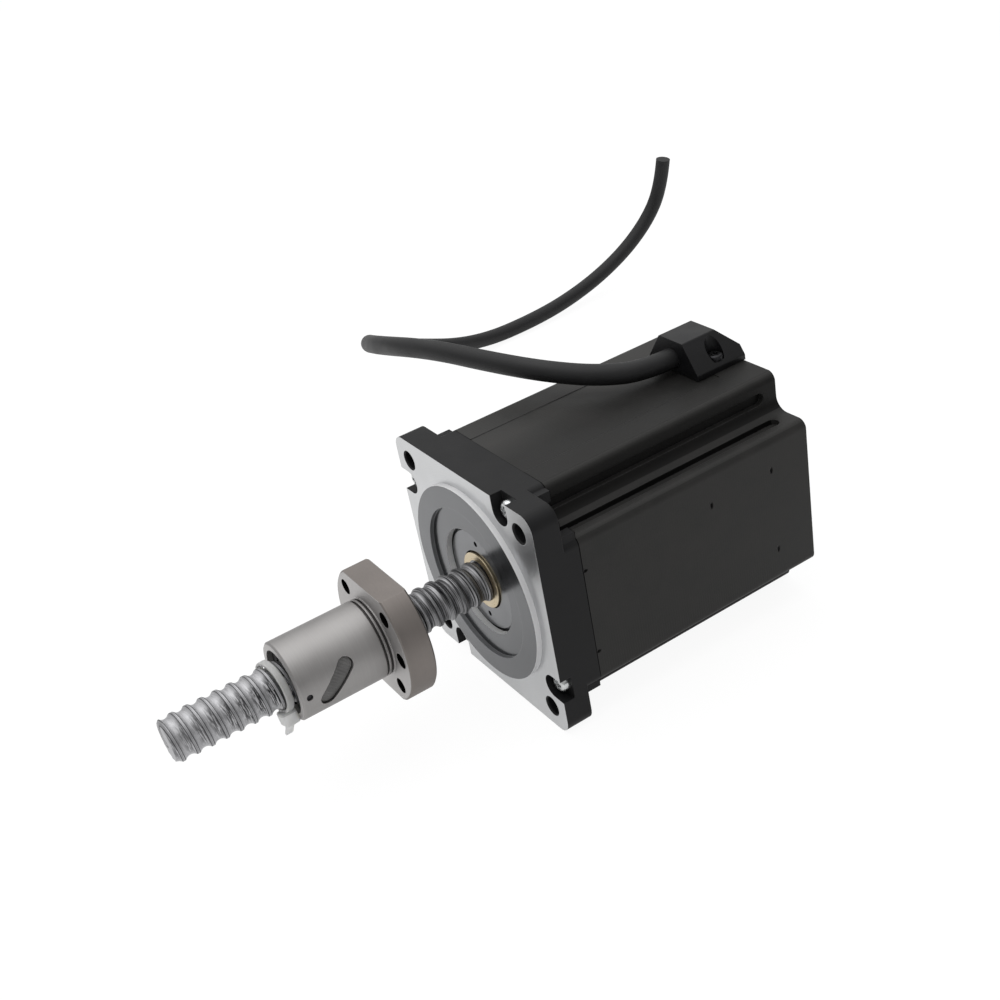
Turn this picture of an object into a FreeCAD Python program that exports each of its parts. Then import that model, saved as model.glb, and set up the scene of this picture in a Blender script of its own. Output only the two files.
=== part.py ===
import FreeCAD, Part
import math
import os

# Ball screw linear actuator: a square-flanged stepper motor whose shaft is a ball screw with one flanged nut.
# X runs along the screw from the motor to the free end, Y to the side and Z up. The origin is the centre of
# the motor's mounting face. All sizes are in millimetres.

Vec = FreeCAD.Vector
X_AXIS = Vec(1, 0, 0)
ORIGIN = Vec(0, 0, 0)

# Fits
running_gap = 0.3
seat_gap = 0.05

# Motor frame
frame_width = 86.0
flange_thickness = 10.0
flange_corner_radius = 5.5
front_cap_length = 15.8
stack_length = 83.2
rear_cap_length = 14.0
notch_size = 14.0
notch_edge_radius = 3.2
notch_root_radius = 5.0
frame_slot_inset = 7.4
frame_slot_width = 4.6
frame_slot_depth = 2.0
frame_slot_end = 6.0
panel_width = 33.0
panel_depth = 0.2
pad_inside_notch = 3.5
pad_past_notch = 2.0
pad_drop = 1.2
pad_depth = 10.0

# Mounting face
mount_hole_inset = 8.2
mount_hole_diameter = 6.6
mount_chamfer = 0.5
pilot_diameter = 73.0
pilot_height = 2.0
face_recess_diameter = 57.0
face_recess_depth = 1.5

# Tie bolts, one beside each mounting hole, turned a quarter round the axis from one to the next
tie_wall = 4.4
tie_inset = 5.0
tie_diameter = 4.0
tie_hole_diameter = 4.5
tie_head_diameter = 6.6
tie_head_height = 2.8
tie_pocket_diameter = 8.8
tie_pocket_depth = 4.5
tie_end_depth = 2.5
tapped_run_out = 1.0

# Front bearing, its retaining ring and the sleeve in front of it
front_bearing_bore = 15.0
front_bearing_outer = 35.0
front_bearing_width = 11.0
front_ball_diameter = 5.95
front_ball_count = 8
bearing_lip_height = 2.0
retainer_diameter = 40.0
retainer_step_diameter = 37.4
retainer_bore = 22.0
retainer_depth = 1.3
retainer_step_length = 1.3
retainer_pin_radius = 14.5
retainer_pin_diameter = 2.0
retainer_pin_depth = 1.5
sleeve_diameter = 21.0
sleeve_proud = 0.7

# Rear bearing and the wave spring behind it
rear_bearing_bore = 12.0
rear_bearing_outer = 32.0
rear_bearing_width = 10.0
rear_ball_diameter = 5.95
rear_ball_count = 7
rear_bearing_setback = 0.3
wave_spring_space = 1.4
wave_spring_thickness = 0.4
wave_count = 3
wave_spring_width = 2.6
wave_points = 8
bearing_boss_wall = 4.0
race_shoulder_share = 0.3

# Stator, windings and rotor
stator_depth = 17.2
yoke_thickness = 5.5
cap_wall = 3.5
pole_count = 8
pole_width = 9.0
shoe_depth = 3.4
shoe_half_angle = 18.5
coil_thickness = 4.6
insulator_thickness = 1.2
insulator_lap = 1.4
coil_cavity_gap = 0.6
rotor_tooth_count = 50
rotor_tooth_depth = 0.8
rotor_end_gap = 3.7
magnet_thickness = 4.0
magnet_inset = 4.5
spacer_diameter = 20.0
rear_recess_diameter = 38.0
rear_recess_depth = 0.8

# Cable clamp block and its screws
gland_front = 21.0
gland_rear = 0.7
gland_half_width = 13.5
gland_skirt = 2.0
gland_height = 12.3
gland_top_half_width = 6.3
gland_rear_chamfer = 7.0
gland_edge_radius = 0.8
gland_screw_side = 10.0
gland_screw_back = 10.0
gland_screw_diameter = 3.0
gland_screw_head_diameter = 5.5
gland_screw_head_height = 2.2
gland_screw_length = 8.0
gland_counterbore_diameter = 6.4
gland_counterbore_floor = 3.4
wire_hole_diameter = 6.6
wire_diameter = 1.6
wire_spread = 1.0
wire_bend_radius = 2.2
wire_sides = 6
wire_room_length = 10.0
wire_room_half_width = 3.4

# Cable: the first point is its end inside the clamp block, the last is the cut end
cable_diameter = 7.7
cable_socket_depth = 6.0
cable_height = 5.0
cable_bend_share = 0.45
floor_gap = 0.5

# Ball screw
screw_diameter = 15.5
screw_lead = 5.0
screw_free_length = 117.0
screw_tip_chamfer = 0.9
blank_turns = 3
thread_start = 1.6
ball_circle_diameter = 16.5
ball_diameter = 3.175
raceway_clearance = 0.16
ball_band_latitude = 32.0
screw_tail = 0.6
ball_sides = 6
ball_spacing = 1.02

# Nut
nut_back = 32.5
nut_flange_thickness = 10.0
nut_flange_diameter = 48.0
nut_flat_width = 40.0
nut_hole_inset = 5.0
nut_hole_diameter = 5.5
nut_hole_angles = (0.0, 45.0, 135.0, 180.0, 225.0, 315.0)
nut_body_diameter = 28.0
nut_body_length = 33.6
nut_edge_chamfer = 0.6
undercut_start = 0.4
undercut_width = 0.9
undercut_pitch = 1.6
undercut_depth = 0.8
nut_chamber_start = 1.5
nut_chamber_length = 25.0
wiper_recess_diameter = 22.6
wiper_recess_depth = 4.5
wiper_thickness = 2.6
wiper_slot_width = 2.4
wiper_slot_depth = 1.2
wiper_screw_diameter = 2.3
wiper_screw_setback = 2.9
wiper_screw_sunk = 0.7
insert_length = 17.0
insert_width = 5.6
insert_angle = 44.0
insert_sunk = 0.9
insert_gap = 0.35
insert_setback = 13.1
insert_spacing = 12.5
insert_turn = 2.0
insert_end_share = 0.999

# Transport tie round the screw at the nut's free end
tie_band_width = 2.5
tie_band_thickness = 1.1
tie_band_gap = 3.15
tie_band_tilt = 7.0
tie_lock_length = 4.6
tie_lock_width = 5.4
tie_lock_height = 4.6
tie_lock_angle = -73.0
tie_tail_length = 4.5

# Stations along the axis and radii that follow from the sizes above
half = frame_width / 2
front_seam = -front_cap_length
rear_seam = front_seam - stack_length
motor_rear = rear_seam - rear_cap_length
notch_wall = half - notch_size
frame_slot_offset = half - frame_slot_inset
mount_offset = half - mount_hole_inset
winding_radius = half - yoke_thickness
cavity_radius = half - cap_wall
stator_bore = half - stator_depth
rotor_radius = stator_bore - running_gap
shoe_radius = stator_bore + shoe_depth
coil_half_width = pole_width / 2 + seat_gap + coil_thickness
coil_inner = shoe_radius + seat_gap
coil_outer = math.sqrt((winding_radius - seat_gap) ** 2 - coil_half_width ** 2)
coil_overhang = insulator_thickness + coil_thickness + seat_gap
cavity_depth = coil_overhang + coil_cavity_gap
bearing_front = -retainer_depth - retainer_step_length * 2
bearing_rear = bearing_front - front_bearing_width
journal = front_bearing_bore / 2
tail_journal = rear_bearing_bore / 2
rear_bearing_front = rear_seam - rear_bearing_setback
rear_bearing_rear = rear_bearing_front - rear_bearing_width
rear_bore_floor = rear_bearing_rear - wave_spring_space
screw_shoulder = -retainer_depth + sleeve_proud
rotor_front = front_seam - rotor_end_gap
rotor_rear = rear_seam + rotor_end_gap
magnet_front = (rotor_front + rotor_rear + magnet_thickness) / 2
magnet_rear = magnet_front - magnet_thickness
tie_height = half - tie_inset
tie_side = notch_wall - tie_wall
gland_front_x = motor_rear + gland_front
gland_rear_x = motor_rear - gland_rear
gland_screw_x = motor_rear + gland_screw_back
cable_end_x = gland_front_x - cable_socket_depth
cable_z = half + cable_height
floor_z = -half + cable_diameter / 2 + floor_gap
ball_circle = ball_circle_diameter / 2
raceway_radius = ball_diameter / 2 + raceway_clearance
nut_face = nut_back + nut_flange_thickness
nut_end = nut_face + nut_body_length
nut_hole_offset = nut_flange_diameter / 2 - nut_hole_inset
nut_bore = screw_diameter / 2 + running_gap
front_wiper_x = nut_end - wiper_recess_depth
nut_chamber = ball_circle + ball_diameter / 2 + seat_gap

cable_route = [
    Vec(cable_end_x, 0, cable_z),
    Vec(-80, 0, cable_z),
    Vec(-65, -6.5, 50.2),
    Vec(-53, -20, 52.4),
    Vec(-44, -41, 53.2),
    Vec(-36, -73, 52.4),
    Vec(-35, -122, 40),
    Vec(-55, -177, 17),
    Vec(-92, -222, -13),
    Vec(-143, -242, floor_z),
    Vec(-187, -242, floor_z),
    Vec(-222, -247, -35.5),
    Vec(-248, -246, -25),
    Vec(-267.5, -245, -11),
    Vec(-277.5, -243, 5),
    Vec(-279.5, -240.5, 21),
]


def rod(radius, x_from, x_to, y=0.0, z=0.0):
    """Cylinder along X between two stations."""
    start = min(x_from, x_to)
    return Part.makeCylinder(radius, abs(x_to - x_from), Vec(start, y, z), X_AXIS)


def ring(outer, inner, x_from, x_to):
    """Ring about the screw's axis between two stations."""
    return rod(outer, x_from, x_to).cut(rod(inner, x_from, x_to))


def block(x_from, x_to, y_from, y_to, z_from, z_to):
    """Box between two corners."""
    low = Vec(min(x_from, x_to), min(y_from, y_to), min(z_from, z_to))
    return Part.makeBox(abs(x_to - x_from), abs(y_to - y_from), abs(z_to - z_from), low)


def turned(profile):
    """Solid turned about X from (x, radius) points."""
    points = [Vec(x, 0, r) for x, r in profile]
    face = Part.Face(Part.makePolygon(points + points[:1]))
    return face.revolve(ORIGIN, X_AXIS, 360)


def spun(shape, angle):
    """Copy turned about the screw's axis."""
    return shape.copy().rotate(ORIGIN, X_AXIS, angle)


def spread(shape, count, first=0.0):
    """Copies spaced evenly round the screw's axis."""
    return [spun(shape, first + 360.0 * i / count) for i in range(count)]


def rounded_face(corners, place):
    """Face with lines and tangent arcs; corners are (u, v, radius), and place puts (u, v) in space."""
    flat = [Vec(u, v, 0) for u, v, _ in corners]
    tangents = []
    for i, (_, _, radius) in enumerate(corners):
        here = flat[i]
        back = (flat[i - 1] - here).normalize()
        ahead = (flat[(i + 1) % len(flat)] - here).normalize()
        half_turn = back.getAngle(ahead) / 2
        reach = radius / math.tan(half_turn)
        middle = here + (back + ahead).normalize() * (radius / math.sin(half_turn) - radius)
        tangents.append((here + back * reach, middle, here + ahead * reach, radius))
    edges = []
    for i, (start, middle, end, radius) in enumerate(tangents):
        last_end = tangents[i - 1][2]
        if (start - last_end).Length > 1e-6:
            edges.append(Part.makeLine(place(last_end.x, last_end.y), place(start.x, start.y)))
        if radius > 0:
            arc = Part.Arc(place(start.x, start.y), place(middle.x, middle.y), place(end.x, end.y))
            edges.append(arc.toShape())
    return Part.Face(Part.Wire(Part.__sortEdges__(edges)))


def across(x):
    """Puts (y, z) on the plane across the axis at x."""
    return lambda y, z: Vec(x, y, z)


def square_prism(x_from, x_to):
    """Full square of the flange with rounded corners."""
    r = flange_corner_radius
    corners = [(half, half, r), (-half, half, r), (-half, -half, r), (half, -half, r)]
    return rounded_face(corners, across(x_to)).extrude(Vec(x_from - x_to, 0, 0))


def notched_prism(x_from, x_to):
    """Square of the frame with a notch cut out of each corner."""
    edge = notch_edge_radius
    root = notch_root_radius
    quarter = [(half, notch_wall, edge), (notch_wall, notch_wall, root), (notch_wall, half, edge)]
    corners = []
    for _ in range(4):
        corners += quarter
        quarter = [(-z, y, r) for y, z, r in quarter]
    return rounded_face(corners, across(x_to)).extrude(Vec(x_from - x_to, 0, 0))


def frame_slots(x_from, x_to):
    """Long slots in both walls of every corner notch, round-ended towards the back."""
    r = frame_slot_width / 2
    floor = notch_wall - frame_slot_depth
    y_low = frame_slot_offset - r
    y_high = frame_slot_offset + r
    ledge = block(x_from + r, x_to, y_low, y_high, floor, half)
    ledge = ledge.fuse(Part.makeCylinder(r, half - floor, Vec(x_from + r, frame_slot_offset, floor)))
    wall = ledge.mirror(ORIGIN, Vec(0, 1, -1))
    return spread(ledge, 4) + spread(wall, 4)


def ball(radius, centre):
    """Ball with few faces, in three bands."""
    turns = [2 * math.pi * i / ball_sides for i in range(ball_sides)]
    width = radius * math.cos(math.radians(ball_band_latitude))
    height = radius * math.sin(math.radians(ball_band_latitude))
    low = [Vec(width * math.cos(a), width * math.sin(a), -height) for a in turns]
    high = [Vec(width * math.cos(a), width * math.sin(a), height) for a in turns]
    faces = []
    for i in range(ball_sides):
        j = (i + 1) % ball_sides
        faces.append([Vec(0, 0, -radius), low[j], low[i]])
        faces.append([low[i], low[j], high[j], high[i]])
        faces.append([high[i], high[j], Vec(0, 0, radius)])
    solid = Part.Solid(Part.Shell([Part.Face(Part.makePolygon(f + f[:1])) for f in faces]))
    solid.translate(centre)
    return solid


def on_raceway(x):
    """Point on the path of the balls at a station."""
    angle = 2 * math.pi * (x - thread_start) / screw_lead - math.pi / 2
    return Vec(x, ball_circle * math.cos(angle), ball_circle * math.sin(angle))


def front_end_cap():
    body = square_prism(-flange_thickness, 0).fuse(notched_prism(front_seam, -flange_thickness))
    pad = block(front_seam, -flange_thickness, notch_wall - pad_inside_notch, notch_wall + pad_past_notch,
                half - pad_depth, half - pad_drop)
    pads = spread(pad, 4) + spread(pad.mirror(ORIGIN, Vec(0, 1, 0)), 4)
    body = body.multiFuse(pads)
    body = body.fuse(rod(pilot_diameter / 2, 0, pilot_height))
    body = body.cut(rod(face_recess_diameter / 2, pilot_height - face_recess_depth, pilot_height))
    body = body.cut(rod(retainer_diameter / 2, bearing_front, pilot_height))
    body = body.cut(rod(front_bearing_outer / 2, bearing_rear, bearing_front))
    body = body.cut(rod(front_bearing_outer / 2 - bearing_lip_height, front_seam, bearing_rear))
    boss = front_bearing_outer / 2 + bearing_boss_wall
    body = body.cut(ring(cavity_radius, boss, front_seam, front_seam + cavity_depth))
    for y in (-mount_offset, mount_offset):
        for z in (-mount_offset, mount_offset):
            r = mount_hole_diameter / 2
            body = body.cut(rod(r, -flange_thickness, 0, y, z))
            lead_in = Part.makeCone(r + mount_chamfer, r, mount_chamfer, Vec(0, y, z), Vec(-1, 0, 0))
            body = body.cut(lead_in)
    r = tie_pocket_diameter / 2
    pocket = rod(r, -tie_pocket_depth, 0, tie_side, tie_height)
    pocket = pocket.fuse(block(-tie_pocket_depth, 0, tie_side - r, tie_side + r, tie_height, half))
    hole = rod(tie_hole_diameter / 2, front_seam, -tie_pocket_depth, tie_side, tie_height)
    body = body.cut(spread(pocket.fuse(hole), 4))
    return body.cut(frame_slots(front_seam - frame_slot_width, -flange_thickness)).removeSplitter()


def stator_core():
    body = notched_prism(rear_seam, front_seam).cut(rod(winding_radius, rear_seam, front_seam))
    pole = block(rear_seam, front_seam, stator_bore, winding_radius + yoke_thickness / 2,
                 -pole_width / 2, pole_width / 2)
    shoe_side = shoe_radius * math.tan(math.radians(shoe_half_angle))
    points = [Vec(rear_seam, 0, 0), Vec(rear_seam, shoe_radius, -shoe_side),
              Vec(rear_seam, shoe_radius, shoe_side)]
    wedge = Part.Face(Part.makePolygon(points + points[:1])).extrude(Vec(stack_length, 0, 0))
    shoe = ring(shoe_radius, stator_bore, rear_seam, front_seam).common(wedge)
    body = body.multiFuse(spread(pole.fuse(shoe), pole_count))
    body = body.cut(rod(stator_bore, rear_seam, front_seam))
    hole = rod(tie_hole_diameter / 2, rear_seam, front_seam, tie_side, tie_height)
    panel = block(rear_seam, front_seam, -panel_width / 2, panel_width / 2, half - panel_depth, half)
    body = body.cut(spread(hole, 4) + [panel])
    return body.cut(frame_slots(rear_seam - frame_slot_width, front_seam)).removeSplitter()


def rear_end_cap():
    body = notched_prism(motor_rear, rear_seam)
    body = body.cut(rod(rear_bearing_outer / 2, rear_bore_floor, rear_seam))
    boss = rear_bearing_outer / 2 + bearing_boss_wall
    body = body.cut(ring(cavity_radius, boss, rear_seam - cavity_depth, rear_seam))
    body = body.cut(rod(rear_recess_diameter / 2, motor_rear, motor_rear + rear_recess_depth))
    thread = rod(tie_diameter / 2, motor_rear, rear_seam, tie_side, tie_height)
    body = body.cut(spread(thread, 4))
    body = body.cut(frame_slots(motor_rear + frame_slot_end, rear_seam))
    depth = half - math.sqrt(cavity_radius ** 2 - gland_screw_side ** 2) + tapped_run_out
    for y in (-gland_screw_side, gland_screw_side):
        top = Vec(gland_screw_x, y, half)
        body = body.cut(Part.makeCylinder(gland_screw_diameter / 2, depth, top, Vec(0, 0, -1)))
    wire_top = Vec(gland_screw_x, 0, half)
    depth = cap_wall + tapped_run_out
    body = body.cut(Part.makeCylinder(wire_hole_diameter / 2, depth, wire_top, Vec(0, 0, -1)))
    return body.removeSplitter()


def tie_bolts():
    bolt = rod(tie_diameter / 2, motor_rear + tie_end_depth, -tie_pocket_depth)
    head_top = tie_head_height - tie_pocket_depth
    bolt = bolt.fuse(rod(tie_head_diameter / 2, -tie_pocket_depth, head_top)).removeSplitter()
    bolt.translate(Vec(0, tie_side, tie_height))
    return Part.Compound(spread(bolt, 4))


def stator_coils():
    inner = pole_width / 2 + seat_gap
    front = front_seam + coil_overhang
    rear = rear_seam - coil_overhang
    cut = coil_thickness / 2
    side = coil_half_width
    outline = [(rear, cut - side), (rear + cut, -side), (front - cut, -side), (front, cut - side),
               (front, side - cut), (front - cut, side), (rear + cut, side), (rear, side - cut)]
    points = [Vec(x, coil_inner, z) for x, z in outline]
    loop = Part.Face(Part.makePolygon(points + points[:1])).extrude(Vec(0, coil_outer - coil_inner, 0))
    window = block(rear + coil_thickness, front - coil_thickness, coil_inner, coil_outer, -inner, inner)
    return Part.Compound(spread(loop.cut(window), pole_count))


def insulator(x_from, x_to):
    """Plate between the core's end face and the ends of the coils."""
    plate = ring(winding_radius + insulator_lap, winding_radius, x_from, x_to)
    arm = block(x_from, x_to, shoe_radius, winding_radius, -pole_width / 2, pole_width / 2)
    return plate.multiFuse(spread(arm, pole_count)).removeSplitter()


def bearing(bore, outer, width, ball_size, count, front):
    """Outer race, inner race and balls of a deep-groove bearing with its front face at a station."""
    rear = front - width
    middle = (front + rear) / 2
    pitch = (bore + outer) / 4
    shoulder = ball_size * race_shoulder_share
    floor = ball_size / 2 + seat_gap
    mouth = math.sqrt(floor ** 2 - shoulder ** 2) + running_gap
    races = []
    for side, wall in ((1, outer / 2), (-1, bore / 2)):
        land = pitch + side * shoulder
        root = pitch + side * floor
        races.append(turned([
            (front, wall), (front, land), (middle + mouth, land), (middle + mouth / 2, root),
            (middle - mouth / 2, root), (middle - mouth, land), (rear, land), (rear, wall),
        ]))
    balls = spread(ball(ball_size / 2, Vec(middle, pitch, 0)), count)
    return races[0], races[1], Part.Compound(balls)


def bearing_retainer():
    step_x = bearing_front + retainer_step_length
    body = ring(retainer_diameter / 2, retainer_bore / 2, bearing_front, step_x)
    body = body.fuse(ring(retainer_step_diameter / 2, retainer_bore / 2, step_x, -retainer_depth))
    for z in (-retainer_pin_radius, retainer_pin_radius):
        hole = rod(retainer_pin_diameter / 2, -retainer_depth - retainer_pin_depth, -retainer_depth, 0, z)
        body = body.cut(hole)
    return body.removeSplitter()


def wave_spring():
    """Thin ring with waves round it, as a ruled face between two wavy edges, thickened along X."""
    swing = (wave_spring_space - wave_spring_thickness) / 2
    outer = rear_bearing_outer / 2 - seat_gap
    edges = []
    for radius in (outer, outer - wave_spring_width):
        points = []
        for i in range(wave_points * wave_count):
            angle = 2 * math.pi * i / (wave_points * wave_count)
            x = rear_bore_floor + swing + swing * math.sin(wave_count * angle)
            points.append(Vec(x, radius * math.cos(angle), radius * math.sin(angle)))
        curve = Part.BSplineCurve()
        curve.interpolate(Points=points, PeriodicFlag=True)
        edges.append(curve.toShape())
    return Part.makeRuledSurface(edges[0], edges[1]).extrude(Vec(wave_spring_thickness, 0, 0))


def ball_screw():
    """Screw and rotor shaft in one; its round-bottomed raceway is cut along the path of the balls."""
    land = screw_diameter / 2
    blank_end = screw_free_length + blank_turns * screw_lead
    blank = turned([
        (rear_bearing_rear - screw_tail, 0), (rear_bearing_rear - screw_tail, tail_journal),
        (rear_bearing_front, tail_journal), (rear_bearing_front, journal),
        (screw_shoulder, journal), (screw_shoulder, land), (blank_end, land), (blank_end, 0),
    ])
    turns = math.ceil((screw_free_length - thread_start) / screw_lead) + 1
    helix = Part.makeHelix(screw_lead, turns * screw_lead, ball_circle)
    tangent = Vec(0, 2 * math.pi * ball_circle, screw_lead)
    section = Part.Wire(Part.makeCircle(raceway_radius, Vec(ball_circle, 0, 0), tangent))
    raceway = Part.Wire(helix).makePipeShell([section], True, True)
    raceway.rotate(ORIGIN, Vec(0, 1, 0), 90)
    raceway.translate(Vec(thread_start, 0, 0))
    chamfer = screw_tip_chamfer
    waste_end = blank_end + screw_lead
    waste = turned([
        (screw_free_length - 2 * chamfer, land + chamfer), (screw_free_length, land - chamfer),
        (screw_free_length, 0), (waste_end, 0), (waste_end, land + chamfer),
    ])
    return blank.cut(raceway).cut(waste)


def rotor_cup(x_from, x_to, first_angle):
    """Toothed core of the rotor, pressed on the screw's shank."""
    tip = rotor_radius
    root = tip - rotor_tooth_depth
    quarter_pitch = math.pi / (2 * rotor_tooth_count)
    points = []
    for i in range(rotor_tooth_count):
        centre = first_angle + 4 * quarter_pitch * i
        for offset, radius in ((-1, root), (-1, tip), (1, tip), (1, root)):
            angle = centre + offset * quarter_pitch
            points.append(Vec(x_from, radius * math.cos(angle), radius * math.sin(angle)))
    core = Part.Face(Part.makePolygon(points + points[:1])).extrude(Vec(x_to - x_from, 0, 0))
    return core.cut(rod(journal, x_from, x_to))


def gland_block():
    skirt = half + gland_skirt
    top = half + gland_height
    low_side = gland_half_width
    top_side = gland_top_half_width
    edge = gland_edge_radius
    outline = [(-low_side, half, 0), (low_side, half, 0), (low_side, skirt, edge), (top_side, top, edge),
               (-top_side, top, edge), (-low_side, skirt, edge)]
    body = rounded_face(outline, across(gland_front_x)).extrude(Vec(gland_rear_x - gland_front_x, 0, 0))
    slope = [Vec(gland_rear_x, -low_side, top), Vec(gland_rear_x + gland_rear_chamfer, -low_side, top),
             Vec(gland_rear_x, -low_side, top - gland_rear_chamfer)]
    body = body.cut(Part.Face(Part.makePolygon(slope + slope[:1])).extrude(Vec(0, 2 * low_side, 0)))
    body = body.cut(rod(cable_diameter / 2 + seat_gap, cable_end_x, gland_front_x, 0, cable_z))
    room = block(cable_end_x - wire_room_length, cable_end_x, -wire_room_half_width, wire_room_half_width,
                 half, cable_z + wire_room_half_width)
    body = body.cut(room)
    hole = gland_screw_diameter / 2 + seat_gap
    counterbore = gland_counterbore_diameter / 2
    for y in (-gland_screw_side, gland_screw_side):
        foot = Vec(gland_screw_x, y, half)
        seat = Vec(gland_screw_x, y, half + gland_counterbore_floor)
        body = body.cut(Part.makeCylinder(hole, gland_height, foot))
        body = body.cut(Part.makeCylinder(counterbore, gland_height, seat))
    return body.removeSplitter()


def gland_screws():
    floor = half + gland_counterbore_floor
    screws = []
    for y in (-gland_screw_side, gland_screw_side):
        seat = Vec(gland_screw_x, y, floor)
        shank = Part.makeCylinder(gland_screw_diameter / 2, gland_screw_length, seat, Vec(0, 0, -1))
        head = Part.makeCylinder(gland_screw_head_diameter / 2, gland_screw_head_height, seat)
        screws.append(shank.fuse(head).removeSplitter())
    return Part.Compound(screws)


def lead_wires():
    """Four insulated leads that turn down from the end of the cable to the windings."""
    r = wire_bend_radius
    wires = []
    for y in (-wire_spread, wire_spread):
        for rise in (-wire_spread, wire_spread):
            z = cable_z + rise
            x = gland_screw_x + wire_spread - (rise + wire_spread)
            corner = Vec(x, y, z)
            start = Vec(cable_end_x, y, z)
            turn_in = corner + Vec(r, 0, 0)
            turn_out = corner - Vec(0, 0, r)
            turn_mid = corner + Vec(r, 0, -r) + Vec(-1, 0, 1).normalize() * r
            end = Vec(x, y, coil_outer + running_gap)
            path = [Part.makeLine(start, turn_in), Part.Arc(turn_in, turn_mid, turn_out).toShape(),
                    Part.makeLine(turn_out, end)]
            turns = [2 * math.pi * i / wire_sides for i in range(wire_sides)]
            rim = [start + Vec(0, math.cos(a), math.sin(a)) * (wire_diameter / 2) for a in turns]
            section = Part.Face(Part.makePolygon(rim + rim[:1]))
            wires.append(Part.Wire(path).makePipe(section))
    return Part.Compound(wires)


def motor_cable():
    """Cable of straight runs joined by tangent arcs, each as large as its two runs allow."""
    radii = []
    edges = []
    last = cable_route[0]
    for before, here, after in zip(cable_route, cable_route[1:], cable_route[2:]):
        back = before - here
        ahead = after - here
        reach = cable_bend_share * min(back.Length, ahead.Length)
        half_turn = (math.pi - back.getAngle(ahead)) / 2
        radius = reach / math.tan(half_turn)
        radii.append(round(radius, 1))
        back.normalize()
        ahead.normalize()
        start = here + back * reach
        end = here + ahead * reach
        middle = here + (back + ahead).normalize() * (radius / math.cos(half_turn) - radius)
        edges.append(Part.makeLine(last, start))
        edges.append(Part.Arc(start, middle, end).toShape())
        last = end
    edges.append(Part.makeLine(last, cable_route[-1]))
    path = Part.Wire(edges)
    section = Part.Face(Part.Wire(Part.makeCircle(cable_diameter / 2, cable_route[0], X_AXIS)))
    tube = path.makePipe(section)
    ideal = math.pi * cable_diameter ** 2 / 4 * path.Length
    print("cable bend radii", radii, "length", round(path.Length, 1))
    print("cable volume", round(tube.Volume), "section times length", round(ideal))
    return tube


def insert_place(shape, number):
    """Moves a shape made about the +Y side of the nut to one of the two return inserts."""
    shape.rotate(ORIGIN, Vec(0, 1, 0), insert_angle)
    shape.translate(Vec(nut_end - insert_setback - number * insert_spacing, 0, 0))
    return spun(shape, insert_turn + 180 * number)


def insert_slug(grow):
    """Round-ended bar through the nut's wall."""
    length = insert_length / 2 + grow
    width = insert_width / 2 + grow
    end = width * insert_end_share
    outline = [(-length, -width, end), (length, -width, end), (length, width, end), (-length, width, end)]
    return rounded_face(outline, lambda x, z: Vec(x, 0, z)).extrude(Vec(0, nut_body_diameter / 2, 0))


def nut_body():
    body = nut_body_diameter / 2
    edge = nut_edge_chamfer
    profile = [(nut_back, nut_bore), (nut_back, nut_flange_diameter / 2 - edge),
               (nut_back + edge, nut_flange_diameter / 2), (nut_face - edge, nut_flange_diameter / 2),
               (nut_face, nut_flange_diameter / 2 - edge), (nut_face, body)]
    for i in range(2):
        groove = nut_face + undercut_start + i * undercut_pitch
        profile += [(groove, body), (groove, body - undercut_depth)]
        profile += [(groove + undercut_width, body - undercut_depth), (groove + undercut_width, body)]
    profile += [(nut_end - edge, body), (nut_end, body - edge), (nut_end, nut_bore)]
    shape = turned(profile)
    flats = nut_flat_width / 2
    reach = nut_flange_diameter
    for z in (-reach, flats):
        shape = shape.cut(block(nut_back, nut_face, -reach, reach, z, z + reach - flats))
    hole = rod(nut_hole_diameter / 2, nut_back, nut_face, nut_hole_offset)
    holes = [spun(hole, angle) for angle in nut_hole_angles]
    recess = wiper_recess_diameter / 2
    front_recess = rod(recess, front_wiper_x, nut_end)
    back_recess = rod(recess, nut_back, nut_back + wiper_thickness)
    screw_foot = Vec(nut_end - wiper_screw_setback, 0, 0)
    screw_hole = Part.makeCylinder(wiper_screw_diameter / 2, body, screw_foot, Vec(0, 1, 0))
    first = nut_face + nut_chamber_start
    chamber = rod(nut_chamber, first, first + nut_chamber_length)
    shape = shape.cut(holes + [front_recess, back_recess, screw_hole, chamber])
    return shape.cut([insert_place(insert_slug(0), i) for i in range(2)])


def return_inserts():
    outer = nut_body_diameter / 2 - insert_sunk
    shell = ring(outer, nut_bore, nut_back, nut_end)
    return Part.Compound([insert_place(insert_slug(-insert_gap), i).common(shell) for i in range(2)])


def nut_balls():
    """Balls in the nut's two circuits, left out where a return insert crosses the raceway."""
    blocked = [insert_place(insert_slug(ball_diameter / 2), i) for i in range(2)]
    turn_length = math.hypot(math.pi * ball_circle_diameter, screw_lead)
    step = ball_diameter * ball_spacing * screw_lead / turn_length
    first = nut_face + nut_chamber_start + ball_diameter
    last = first + nut_chamber_length - 2 * ball_diameter
    balls = []
    for i in range(int((last - first) / step)):
        centre = on_raceway(first + i * step)
        if not any(slug.isInside(centre, seat_gap, True) for slug in blocked):
            balls.append(ball(ball_diameter / 2, centre))
    return Part.Compound(balls)


def wiper(x_from, x_to, slot_x):
    """Plastic wiper ring with two driving slots in its outer face."""
    body = ring(wiper_recess_diameter / 2 - seat_gap, nut_bore, x_from, x_to)
    side = wiper_slot_width / 2
    reach = wiper_recess_diameter
    slot = block(slot_x - wiper_slot_depth, slot_x + wiper_slot_depth, -side, side, -reach, reach)
    return body.cut(slot)


def wiper_screw():
    outer = nut_body_diameter / 2 - wiper_screw_sunk
    inner = wiper_recess_diameter / 2 - seat_gap
    seat = Vec(nut_end - wiper_screw_setback, inner, 0)
    return Part.makeCylinder(wiper_screw_diameter / 2, outer - inner, seat, Vec(0, 1, 0))


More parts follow.
